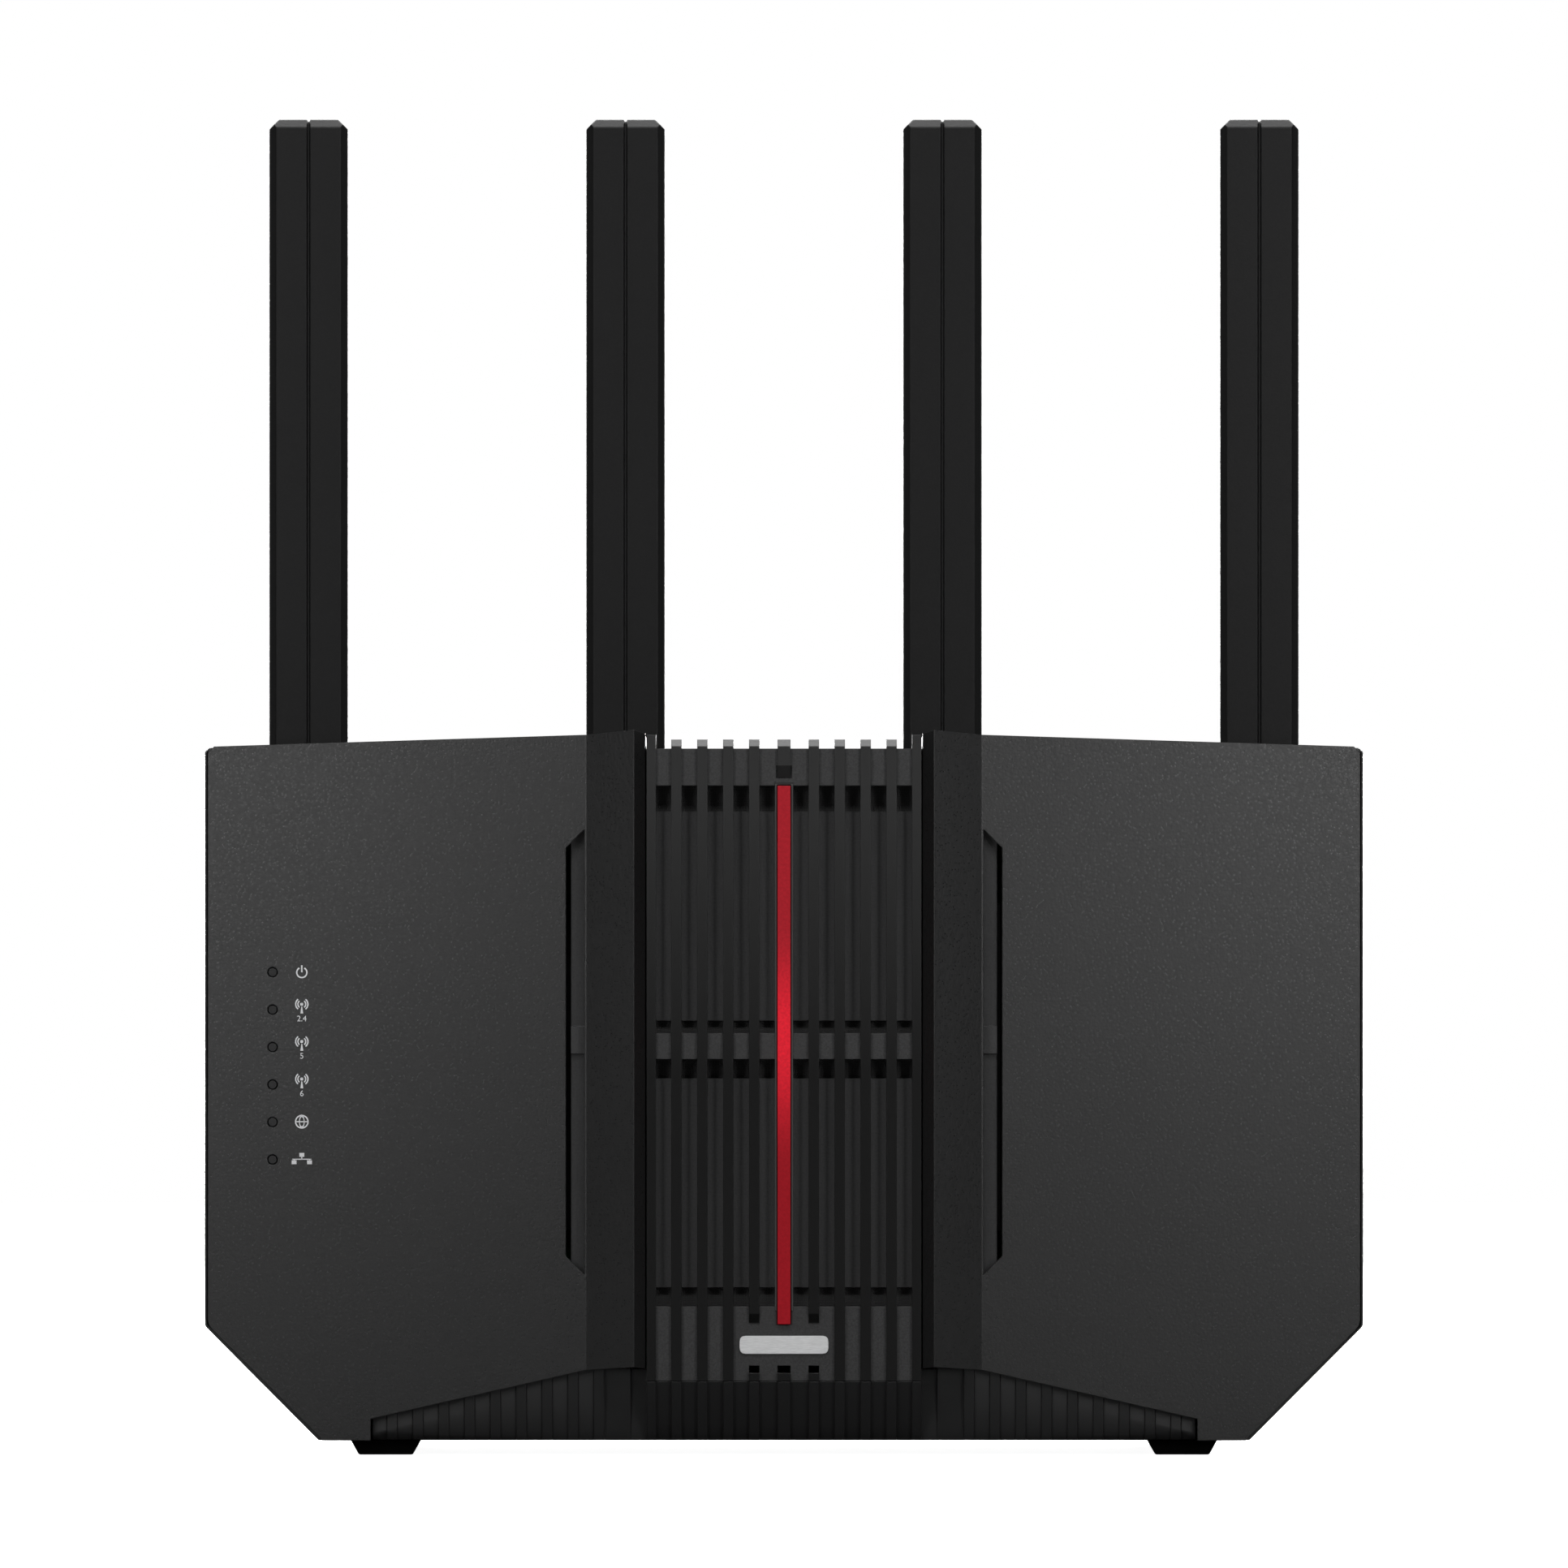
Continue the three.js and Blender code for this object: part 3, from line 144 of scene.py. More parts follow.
# Lays a mark made round the origin, facing -Y, onto a CAD part.
def layOn(piece, name, x, z, fromBehind=False):
    place, turn = surfaceAt(name, x, z, fromBehind)
    piece.rotation_euler = (0, 0, turn)
    piece.location = place
    return settle(piece)


def slab(width, depth, height, place=(0, 0, 0), rounded=0.0):
    bpy.ops.object.select_all(action="DESELECT")
    bpy.ops.mesh.primitive_cube_add(size=1, location=place, scale=(width, depth, height))
    piece = settle(bpy.context.active_object)
    if rounded:
        bpy.ops.object.mode_set(mode="EDIT")
        bpy.ops.mesh.select_all(action="SELECT")
        bpy.ops.mesh.bevel(offset=rounded, segments=2, affect="EDGES")
        bpy.ops.object.mode_set(mode="OBJECT")
    return piece


faceFront = (math.radians(90), 0, 0)


# A flat ring that faces -Y, or the part of one whose angles, from +X towards +Z, pass a rule.
def flatRing(outer, inner, depth, keep=None, place=(0, 0, 0), steps=48):
    bpy.ops.object.select_all(action="DESELECT")
    bpy.ops.mesh.primitive_cylinder_add(vertices=steps, radius=outer, depth=depth, rotation=faceFront)
    ring = settle(bpy.context.active_object)
    pickFaces(ring, lambda face: abs(face.normal.y) > 0.9)
    bpy.ops.mesh.inset(thickness=outer - inner)
    bpy.ops.mesh.bridge_edge_loops()
    if keep:
        pickFaces(ring, lambda face: not keep(math.degrees(math.atan2(face.center.z, face.center.x))))
        bpy.ops.mesh.delete(type="FACE")
        bpy.ops.mesh.select_all(action="SELECT")
        bpy.ops.mesh.fill_holes(sides=4)
    bpy.ops.object.mode_set(mode="OBJECT")
    ring.data.transform(Matrix.Translation(place))
    return ring


def numeral(text, size, depth, place=(0, 0, 0)):
    bpy.ops.object.select_all(action="DESELECT")
    bpy.ops.object.text_add(rotation=faceFront)
    words = bpy.context.active_object
    words.data.body = text
    words.data.size = size
    words.data.extrude = depth / 2
    words.data.align_x = "CENTER"
    words.data.align_y = "CENTER"
    bpy.ops.object.convert(target="MESH")
    piece = settle(bpy.context.active_object)
    piece.data.transform(Matrix.Translation(place))
    return piece


# Material helpers

def newMaterial(name):
    material = bpy.data.materials.new(name)
    material.use_nodes = True
    tree = material.node_tree
    tree.nodes.clear()
    output = tree.nodes.new("ShaderNodeOutputMaterial")
    shader = tree.nodes.new("ShaderNodeBsdfPrincipled")
    tree.links.new(shader.outputs["BSDF"], output.inputs["Surface"])
    place = tree.nodes.new("ShaderNodeTexCoord").outputs["Object"]
    return material, tree, shader, place


def addNode(tree, kind, inputs=None, **properties):
    made = tree.nodes.new(kind)
    for key, value in properties.items():
        setattr(made, key, value)
    for key, value in (inputs or {}).items():
        if isinstance(value, bpy.types.NodeSocket):
            tree.links.new(value, made.inputs[key])
        else:
            made.inputs[key].default_value = value
    return made


def addNoise(tree, place, size, detail=2, roughness=0.5):
    return addNode(tree, "ShaderNodeTexNoise", {
        "Vector": place, "Scale": 1 / size, "Detail": detail, "Roughness": roughness,
    }).outputs["Fac"]


def addRange(tree, value, low, high, toLow, toHigh):
    return addNode(tree, "ShaderNodeMapRange", {
        "Value": value, "From Min": low, "From Max": high, "To Min": toLow, "To Max": toHigh,
    }, clamp=True).outputs["Result"]


def addMath(tree, operation, first, second=0.0):
    return addNode(tree, "ShaderNodeMath", {0: first, 1: second}, operation=operation).outputs[0]


def mixColours(tree, factor, first, second, blend="MIX"):
    return addNode(tree, "ShaderNodeMix", {
        "Factor": factor, "A": first, "B": second,
    }, data_type="RGBA", blend_type=blend).outputs["Result"]


def tone(level, tint=(1, 1, 1)):
    return (level * tint[0], level * tint[1], level * tint[2], 1)


# Moulded plastic: a fine eroded grain, a slow cloudiness and a few polished specks. A look with an edge
# has its corners softened by that radius.
def mouldedPlastic(look):
    material, tree, shader, place = newMaterial(look["name"])
    grain = addNoise(tree, place, look["grain"], 3, 0.6)
    pits = addNode(tree, "ShaderNodeTexVoronoi", {
        "Vector": place, "Scale": 1 / (look["grain"] * 1.7),
    }).outputs["Distance"]
    clouds = addNoise(tree, place, look["clouds"], 2)
    tint = look.get("tint", (1, 1, 1.02))
    dark = tone(look["tone"] * (1 - look["speckle"]), tint)
    pale = tone(look["tone"] * (1 + look["speckle"]), tint)
    speckled = mixColours(tree, addRange(tree, grain, 0.3, 0.7, 0, 1), dark, pale)
    cloudy = addRange(tree, clouds, 0.3, 0.7, 1 - look["cloudiness"], 1 + look["cloudiness"])
    coloured = addNode(tree, "ShaderNodeVectorMath", {0: speckled}, operation="SCALE")
    tree.links.new(cloudy, coloured.inputs["Scale"])
    tree.links.new(coloured.outputs["Vector"], shader.inputs["Base Color"])
    smoothest = look["rough"] - look["roughSpread"]
    rough = addRange(tree, pits, 0.05, 0.6, smoothest, look["rough"] + look["roughSpread"])
    tree.links.new(rough, shader.inputs["Roughness"])
    height = addMath(tree, "ADD", grain, addMath(tree, "MULTIPLY", pits, 0.6))
    bump = addNode(tree, "ShaderNodeBump", {
        "Height": height, "Strength": look["bump"], "Distance": look["depth"],
    })
    if look.get("edge"):
        soft = addNode(tree, "ShaderNodeBevel", {"Radius": look["edge"]}, samples=6)
        tree.links.new(soft.outputs["Normal"], bump.inputs["Normal"])
    tree.links.new(bump.outputs["Normal"], shader.inputs["Normal"])
    shader.inputs["Specular IOR Level"].default_value = look.get("gloss", 0.5)
    return material


# Metal sheet or castings with fine directional brushing.
def brushedMetal(look):
    material, tree, shader, place = newMaterial(look["name"])
    stretched = addNode(tree, "ShaderNodeMapping", {"Vector": place, "Scale": look["stretch"]})
    strokes = addNoise(tree, stretched.outputs["Vector"], look["stroke"], 4, 0.65)
    smudges = addNoise(tree, place, look["smudge"], 2)
    dark = (*[c * 0.82 for c in look["colour"]], 1)
    pale = (*look["colour"], 1)
    coloured = mixColours(tree, addRange(tree, strokes, 0.3, 0.7, 0, 1), dark, pale)
    tree.links.new(coloured, shader.inputs["Base Color"])
    fine = addRange(tree, strokes, 0.3, 0.7, look["rough"] - 0.06, look["rough"] + 0.06)
    rough = addMath(tree, "ADD", fine, addRange(tree, smudges, 0.4, 0.7, 0, 0.08))
    tree.links.new(rough, shader.inputs["Roughness"])
    bump = addNode(tree, "ShaderNodeBump", {"Height": strokes, "Strength": 0.25, "Distance": 0.00004})
    tree.links.new(bump.outputs["Normal"], shader.inputs["Normal"])
    shader.inputs["Metallic"].default_value = look.get("metallic", 1.0)
    return material


wingLook = {
    "name": "erodedCoverPlastic",
    "tone": 0.005,
    "speckle": 0.42,
    "grain": 0.00042,
    "clouds": 0.03,
    "cloudiness": 0.07,
    "rough": 0.31,
    "roughSpread": 0.05,
    "bump": 0.3,
    "depth": 0.00006,
    "edge": 0.0003,
}
housingLook = dict(
    wingLook, name="housingPlastic", tone=0.006, grain=0.0005, speckle=0.2, rough=0.36, edge=None
)
barLook = {
    "name": "smoothBarPlastic",
    "tone": 0.008,
    "speckle": 0.06,
    "grain": 0.0003,
    "clouds": 0.02,
    "cloudiness": 0.05,
    "rough": 0.42,
    "roughSpread": 0.04,
    "bump": 0.12,
    "depth": 0.00003,
    "gloss": 0.35,
}
antennaLook = dict(
    wingLook, name="antennaPlastic", tone=0.006, speckle=0.2, grain=0.00038, rough=0.42, bump=0.2, gloss=0.22
)
inkLook = dict(barLook, name="whiteInk", tone=0.85, rough=0.5, speckle=0.04, gloss=0.5)
socketLook = dict(barLook, name="socketPlastic", tone=0.05)
blueLook = dict(barLook, name="blueSocketPlastic", tone=0.2, tint=(0.12, 0.4, 1.5))
rubberLook = dict(barLook, name="footRubber", tone=0.002, rough=0.8, bump=0.3, grain=0.0006, gloss=0.1)
louvreLook = dict(housingLook, name="louvrePlastic", tone=0.034)
skirtLook = dict(barLook, name="skirtPlastic", tone=0.024, gloss=0.5)
pipeLook = dict(barLook, name="smokedLightPipe", tone=0.022, rough=0.35, bump=0.2, grain=0.0005)
leadLook = dict(barLook, name="leadJacket", tone=0.1, rough=0.6)
labelLook = dict(barLook, name="labelFilm", tone=0.38, rough=0.5)
boardLook = dict(
    barLook, name="solderMask", tone=0.05, tint=(0.25, 1.2, 0.5), rough=0.35, bump=0.5, grain=0.0011
)
steelLook = {
    "name": "tinnedSteel",
    "colour": (0.62, 0.62, 0.63),
    "stretch": (1, 1, 8),
    "stroke": 0.0012,
    "smudge": 0.01,
    "rough": 0.3,
}
sinkLook = dict(steelLook, name="blackAnodised", colour=(0.02, 0.02, 0.021), rough=0.45, metallic=0.4)
goldLook = dict(steelLook, name="contactGold", colour=(0.9, 0.62, 0.24), rough=0.22)
badgeLook = dict(
    steelLook, name="badgeSilver", colour=(0.9, 0.905, 0.91), stretch=(1, 1, 9), stroke=0.0018,
    rough=0.5, metallic=0.3
)

coverPlastic = mouldedPlastic(wingLook)
housingPlastic = mouldedPlastic(housingLook)
barPlastic = mouldedPlastic(barLook)
louvrePlastic = mouldedPlastic(louvreLook)
skirtPlastic = mouldedPlastic(skirtLook)
antennaPlastic = mouldedPlastic(antennaLook)
whiteInk = mouldedPlastic(inkLook)
socketPlastic = mouldedPlastic(socketLook)
bluePlastic = mouldedPlastic(blueLook)
footRubber = mouldedPlastic(rubberLook)
smokedPipe = mouldedPlastic(pipeLook)
leadJacket = mouldedPlastic(leadLook)
labelFilm = mouldedPlastic(labelLook)
solderMask = mouldedPlastic(boardLook)
tinnedSteel = brushedMetal(steelLook)
blackAnodised = brushedMetal(sinkLook)
contactGold = brushedMetal(goldLook)
badgeSilver = brushedMetal(badgeLook)

grilleLook = {
    "barFace": 0.00355,  # parts of the grille nearer the front than this are smooth bars
    "bandTone": 0.024,
    # painted sheen: the smooth bars are painted paler towards the top and darker towards the foot
    "barSheenTop": (0.157, 0.03),  # a height, and how pale the bars are there
    "barSheenFoot": (0.088, 0.0015),
    "barRough": 0.36,
    "barGloss": 0.3,
    "barBump": 0.08,
    # the slope over the accent, painted darker and without gloss as painted shade: half width, top and foot
    # below the grille's top, tone
    "stub": (0.0019, 0.0071, 0.0101, 0.024),
    # the edges beside the accent, painted paler as a painted highlight: inner, outer, top below the grille's
    # top, tone
    "bezelHighlight": (0.00152, 0.0024, 0.0114, 0.07),
    "gridTop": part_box("center_grille")[1].z,
    "depthFrom": cadBounds[0].y,
}


# The grille is one moulding with two finishes: smooth bars, and textured bands set back between them. On the
# smooth parts the colour carries painted light: a painted sheen on the bars that is paler towards the top,
# painted shade on the slope over the accent, and a painted highlight on the edges beside it.
def grilleFinish(look):
    material = mouldedPlastic(dict(wingLook, name="grillePlastic", tone=look["bandTone"]))
    tree = material.node_tree
    shader = next(n for n in tree.nodes if n.type == "BSDF_PRINCIPLED")
    place = next(n for n in tree.nodes if n.type == "TEX_COORD").outputs["Object"]
    parted = addNode(tree, "ShaderNodeSeparateXYZ", {0: place}).outputs
    depth = addMath(tree, "SUBTRACT", parted["Y"], look["depthFrom"])
    setBack = addMath(tree, "GREATER_THAN", depth, look["barFace"])
    textured = shader.inputs["Base Color"].links[0].from_socket
    height = parted["Z"]
    # painted sheen on the bars, by height
    high, low = look["barSheenTop"], look["barSheenFoot"]
    shade = addRange(tree, height, low[0], high[0], low[1], high[1])
    # painted shade: the slope over the accent is painted darker and loses its gloss
    half, top, foot, dim = look["stub"]
    across = addMath(tree, "ABSOLUTE", parted["X"])
    below = addMath(tree, "SUBTRACT", look["gridTop"], height)
    beside = addMath(tree, "LESS_THAN", across, half)
    underTop = addMath(tree, "GREATER_THAN", below, top)
    onSlope = addMath(tree, "MULTIPLY", underTop, addMath(tree, "LESS_THAN", below, foot))
    stub = addMath(tree, "MULTIPLY", beside, onSlope)
    shade = addRange(tree, stub, 0, 1, shade, dim)
    # painted highlight: the edges beside the accent are painted paler
    inner, outer, start, glint = look["bezelHighlight"]
    outside = addMath(tree, "GREATER_THAN", across, inner)
    band = addMath(tree, "MULTIPLY", outside, addMath(tree, "LESS_THAN", across, outer))
    bezelHighlight = addMath(tree, "MULTIPLY", band, addMath(tree, "GREATER_THAN", below, start))
    shade = addRange(tree, bezelHighlight, 0, 1, shade, glint)
    smooth = addNode(tree, "ShaderNodeCombineColor", {0: shade, 1: shade, 2: shade}).outputs["Color"]
    mixed = mixColours(tree, setBack, smooth, textured)
    tree.links.new(mixed, shader.inputs["Base Color"])
    gloss = addRange(tree, setBack, 0, 1, look["barGloss"], 0.5)
    gloss = addMath(tree, "MULTIPLY", gloss, addMath(tree, "SUBTRACT", 1, stub))
    tree.links.new(gloss, shader.inputs["Specular IOR Level"])
    bump = shader.inputs["Normal"].links[0].from_node
    strength = addRange(tree, setBack, 0, 1, look["barBump"], wingLook["bump"])
    tree.links.new(addRange(tree, setBack, 0, 1, look["barRough"], 0.5), shader.inputs["Roughness"])
    tree.links.new(strength, bump.inputs["Strength"])
    return material


grillePlastic = grilleFinish(grilleLook)

accentLook = {
    # the red is painted brightest a little above its middle, a painted highlight, and glows by its own
    # emission, a painted glow
    "upper": (0.34, 0.01, 0.018, 1),
    "paintedHighlight": (0.72, 0.014, 0.03, 1),
    "lower": (0.28, 0.005, 0.011, 1),
    "heights": (0.066, 0.098, 0.124),  # lower tone up to the first, brightest at the second
    "grain": 0.0006,
    "rough": 0.4,
    "roughSpread": 0.05,
    "gloss": 0.15,
    "paintedGlow": 0.31,
    "bump": 0.06,
    "depth": 0.00002,
}


# A smoked red bar, painted brightest a little above its middle as a painted highlight, which glows a little
# from its own emission as a painted glow.
def accentFinish(look):
    material, tree, shader, place = newMaterial("accentRed")
    low, middle, high = look["heights"]
    height = addNode(tree, "ShaderNodeSeparateXYZ", {0: place}).outputs["Z"]
    rising = addNode(tree, "ShaderNodeMapRange", {
        "Value": height, "From Min": low, "From Max": middle, "To Min": 0, "To Max": 1,
    }, interpolation_type="SMOOTHSTEP").outputs["Result"]
    falling = addNode(tree, "ShaderNodeMapRange", {
        "Value": height, "From Min": middle, "From Max": high, "To Min": 0, "To Max": 1,
    }, interpolation_type="SMOOTHSTEP").outputs["Result"]
    grain = addNoise(tree, place, look["grain"], 2)
    ground = mixColours(tree, rising, look["lower"], look["paintedHighlight"])
    coloured = mixColours(tree, falling, ground, look["upper"])
    shade = addRange(tree, grain, 0.3, 0.7, 0.9, 1.1)
    uneven = addNode(tree, "ShaderNodeVectorMath", {0: coloured}, operation="SCALE")
    tree.links.new(shade, uneven.inputs["Scale"])
    tree.links.new(uneven.outputs["Vector"], shader.inputs["Base Color"])
    # painted glow: the red lights itself though the bar is no lamp
    tree.links.new(uneven.outputs["Vector"], shader.inputs["Emission Color"])
    shader.inputs["Emission Strength"].default_value = look["paintedGlow"]
    shader.inputs["Specular IOR Level"].default_value = look["gloss"]
    smoothest = look["rough"] - look["roughSpread"]
    rough = addRange(tree, grain, 0.3, 0.7, smoothest, look["rough"] + look["roughSpread"])
    tree.links.new(rough, shader.inputs["Roughness"])
    bump = addNode(tree, "ShaderNodeBump", {
        "Height": grain, "Strength": look["bump"], "Distance": look["depth"],
    })
    tree.links.new(bump.outputs["Normal"], shader.inputs["Normal"])
    return material


accentRed = accentFinish(accentLook)
print("finishes: made")


# The CAD parts keep their meshes: live modifiers round their edges, and each gets its finish. The slotted
# plates and the pierced covers keep the edges they have.
uncutParts = ["louvre_plate", "center_grille", "main_board", "wing_cover_left", "wing_cover_right"]
flatWithin = math.radians(0.6)
mergeWithin = 2e-6


def middleOf(name):
    low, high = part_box(name)
    return (low + high) / 2


# Walls with holes in them: their slots, and planes through the holes that share their faces out.
ventMiddle = Vector((0, -0.0185, 0.096))
labelFoot = middleOf("rating_label") - Vector((0, 0, 0.007))
holedParts = {
    "port_box": ("housing_black", [(middleOf("wan_jack"), (0, 0, 1))]),
    "rear_housing": ("housing_black", [
        (ventMiddle, (0, 0, 1)),
        (ventMiddle, (0, 1, 0)),
        (labelFoot, (0, 0, 1)),
        (middleOf("housing_screw_upper_left"), (0, 0, 1)),
        (middleOf("housing_screw_lower_left"), (0, 0, 1)),
    ]),
}


# A copy of a CAD part whose flat faces are whole again, apart from the cuts that run through its holes.
def refaced(name, cuts):
    piece = copyOf(nodes[name], f"{name}_shell", (0, 0, 0))
    piece.data.name = piece.name
    only(piece)
    bpy.ops.object.mode_set(mode="EDIT")
    bpy.ops.mesh.select_mode(type="EDGE")
    bpy.ops.mesh.select_all(action="SELECT")
    bpy.ops.mesh.remove_doubles(threshold=mergeWithin)
    for point, normal in cuts:
        bpy.ops.mesh.select_all(action="SELECT")
        bpy.ops.mesh.bisect(plane_co=point, plane_no=normal)
        bpy.ops.mesh.mark_seam()
    bpy.ops.mesh.select_all(action="SELECT")
    bpy.ops.mesh.dissolve_limited(angle_limit=flatWithin, delimit={"SEAM"})
    bpy.ops.object.mode_set(mode="OBJECT")
    return piece


def roundEdges(part, width, segments=2, sharpest=28):
    for face in part.data.polygons:
        face.use_smooth = True
    bevel = part.modifiers.new("edge", "BEVEL")
    bevel.width = width
    bevel.segments = segments
    bevel.limit_method = "ANGLE"
    bevel.angle_limit = math.radians(sharpest)
    bevel.use_clamp_overlap = False
    bevel.miter_outer = "MITER_ARC"
    even = part.modifiers.new("even", "WEIGHTED_NORMAL")
    even.weight = 70
    even.keep_sharp = False


def dress(names, material, width, segments=2, sharpest=28):
    for name in names:
        if name in holedParts:
            slot, cuts = holedParts[name]
            piece = refaced(name, cuts)
            roundEdges(piece, width * millimetre, segments, sharpest)
            only(piece)
            for modifier in [m.name for m in piece.modifiers]:
                bpy.ops.object.modifier_apply(modifier=modifier)
            finishPiece(piece, "body", material)
            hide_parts(name)
            continue
        part = nodes[name]
        part.data.materials.clear()
        part.data.materials.append(material)
        weld = part.modifiers.new("weld", "WELD")
        weld.merge_threshold = mergeWithin
        if name not in uncutParts:
            flat = part.modifiers.new("flat", "DECIMATE")
            flat.decimate_type = "DISSOLVE"
            flat.angle_limit = flatWithin
            roundEdges(part, width * millimetre, segments, sharpest)


sides = ("left", "right")
dress([f"wing_cover_{side}" for side in sides], coverPlastic, 0)
dress(["center_grille"], grillePlastic, 0.14)
dress(["lower_skirt"], skirtPlastic, 0.18)
dress(["louvre_plate", "side_louvre_left", "side_louvre_right"], louvrePlastic, 0.12)
dress(["rear_housing", "port_box", "stand_base"], housingPlastic, 0.35, 3)
dress(["accent_strip"], accentRed, 0.12)
dress(["front_badge"], badgeSilver, 0.12)
dress([f"foot_{end}_{side}" for end in ("front", "rear") for side in sides], footRubber, 0.4, 3)
dress(["light_pipe_comb"], smokedPipe, 0.1)
dress(["main_board"], solderMask, 0.1)
dress(["shield_can", "usb_port", "dc_pin"], tinnedSteel, 0.12)
dress(["heat_sink"], blackAnodised, 0.12)
dress(["wan_jack"], bluePlastic, 0.15)
dress(jackNames[1:], socketPlastic, 0.15)
dress(["dc_inlet", "power_button", "wps_button", "reset_button"], barPlastic, 0.2)
dress(["rating_label"], labelFilm, 0.05)
dress([f"housing_screw_{row}_{side}" for row in ("upper", "lower") for side in sides], tinnedSteel, 0.25)
for antenna in antennaNames:
    dress([f"{antenna}_front_shell", f"{antenna}_rear_shell"], antennaPlastic, 0.22, 3)
    dress([f"{antenna}_knuckle"], barPlastic, 0.3, 3)
    dress([f"{antenna}_fold_pin"], tinnedSteel, 0.2)
    dress([f"{antenna}_radiator"], solderMask, 0.05)
    dress([f"{antenna}_lead"], leadJacket, 0.05)
print("parts: edges rounded and finishes given")


# White marks on the left cover, beside the status lights
markLook = {
    "x": -0.1118,
    "ink": 0.00006,  # thickness of the print
    "powerZ": 0.1121,
    "mastZs": (0.10425, 0.0956, 0.0869),
    "mastNumbers": ("2.4", "5", "6"),
    "numberDrop": 0.0029,
    "numberSize": 0.0019,
    "globeZ": 0.0775,
    "networkZ": 0.0688,
}


def powerMark(look):
    ink = look["ink"]
    ring = flatRing(0.00135, 0.00102, ink, lambda a: not 62 < a < 118)
    bar = slab(0.00034, ink, 0.0016, (0, 0, 0.00085), 0.00002)
    return joinAll([ring, bar], "powerMark")


# A mast with waves to both sides of its tip.
def mastMark(look):
    ink = look["ink"]
    tip = (0, 0, 0.0005)
    waves = []
    for outer in (0.00158, 0.00106):
        for middle in (0, 180):
            near = lambda a: abs((a - middle + 180) % 360 - 180) < 50
            waves.append(flatRing(outer, outer - 0.0003, ink, near, tip))
    dot = slab(0.00068, ink, 0.00068, tip)
    bpy.ops.object.mode_set(mode="EDIT")
    bpy.ops.mesh.select_all(action="SELECT")
    bpy.ops.mesh.bevel(offset=0.00022, segments=4, affect="EDGES")
    bpy.ops.object.mode_set(mode="OBJECT")
    mast = slab(0.00066, ink, 0.0016, (0, 0, -0.00085))
    pickFaces(mast, lambda face: face.normal.z > 0.9)
    bpy.ops.transform.resize(value=(0.3, 1, 1))
    bpy.ops.object.mode_set(mode="OBJECT")
    return joinAll([*waves, dot, mast], "mastMark")


def globeMark(look):
    ink = look["ink"]
    rim = flatRing(0.0016, 0.0013, ink)
    meridian = flatRing(0.00145, 0.00105, ink)
    meridian.data.transform(Matrix.Diagonal((0.45, 1, 1, 1)))
    return joinAll([rim, meridian, slab(0.0028, ink, 0.00026)], "globeMark")


# Three boxes joined by a line, for wired links.
def networkMark(look):
    ink = look["ink"]
    parts = [slab(0.0044, ink, 0.00022), slab(0.00022, ink, 0.0007, (0, 0, 0.0003))]
    for x, z in ((-0.0018, -0.0007), (0.0018, -0.0007), (0, 0.0010)):
        parts.append(slab(0.00115, ink, 0.0009, (x, 0, z), 0.00002))
    for x in (-0.0018, 0.0018):
        parts.append(slab(0.00022, ink, 0.0005, (x, 0, -0.0002)))
    return joinAll(parts, "networkMark")


def printOn(piece, name):
    return finishPiece(named(name, piece), "body", whiteInk)


def coverMarks(look):
    cover = "wing_cover_left"
    printOn(layOn(powerMark(look), cover, look["x"], look["powerZ"]), "coverPowerMark")
    for number, z in zip(look["mastNumbers"], look["mastZs"]):
        tag = number.replace(".", "_")
        printOn(layOn(mastMark(look), cover, look["x"], z), f"coverMast_{tag}")
        words = numeral(number, look["numberSize"], look["ink"])
        printOn(layOn(words, cover, look["x"], z - look["numberDrop"]), f"coverNumber_{tag}")
    printOn(layOn(globeMark(look), cover, look["x"], look["globeZ"]), "coverGlobeMark")
    printOn(layOn(networkMark(look), cover, look["x"], look["networkZ"]), "coverNetworkMark")


coverMarks(markLook)
print("cover marks: printed")


# Sockets: eight gold wires in each network jack, pads on the USB tongue, plain marks over each
socketSizes = {
    "wires": 8,
    "wire": (0.00034, 0.0002),
    "wirePitch": 0.00102,
    "wireTop": 0.0006,  # under the roof of the mouth
    "wireRun": 0.0065,
    "wireDrop": 0.0026,
    "setIn": 0.0022,
    "pad": (0.0012, 0.0072, 0.00012),
    "padPitch": 0.0025,
    "padBack": 0.0086,
    "padDown": 0.0033,
    "markRise": 0.0034,
    "numberSize": 0.0034,
    "ink": 0.00006,
}


# One springy wire: it runs back from the mouth and bends down into the jack.
def contactWire(look):
    width, height = look["wire"]
    wire = slab(width, 0.0012, height)
    steps = ((look["wireRun"] * 0.25, 0.0), (look["wireRun"], -look["wireDrop"]), (0.0009, -0.0012))
    for back, down in steps:
        pickFaces(wire, lambda face: face.center.y < min(f.center.y for f in wire.data.polygons) + 1e-7)
        bpy.ops.mesh.extrude_region_move(TRANSFORM_OT_translate={"value": (0, -back, down)})
        bpy.ops.object.mode_set(mode="OBJECT")
    return wire


def jackContacts(look):
    wires = [contactWire(look)]
    for n in range(1, look["wires"]):
        wires.append(copyOf(wires[0], f"wire_{n}", (n * look["wirePitch"], 0, 0)))
    comb = joinAll(wires, "jackContacts")
    comb.data.transform(Matrix.Translation(((1 - look["wires"]) / 2 * look["wirePitch"], 0, 0)))
    for name in jackNames:
        low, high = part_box(name)
        shift = ((low.x + high.x) / 2, high.y - look["setIn"], high.z - look["wireDrop"] - look["wireTop"])
        finishPiece(copyOf(comb, f"{name}_contacts", shift), "body", contactGold)
    bpy.data.objects.remove(comb)


def usbPads(look):
    low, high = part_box("usb_port")
    middle = (low.x + high.x) / 2
    pads = []
    for n in range(4):
        x = middle + (n - 1.5) * look["padPitch"]
        place = (x, high.y - look["padBack"], high.z - look["padDown"])
        pads.append(slab(*look["pad"], place, 0.00004))
    finishPiece(joinAll(pads, "usbPads"), "body", contactGold)


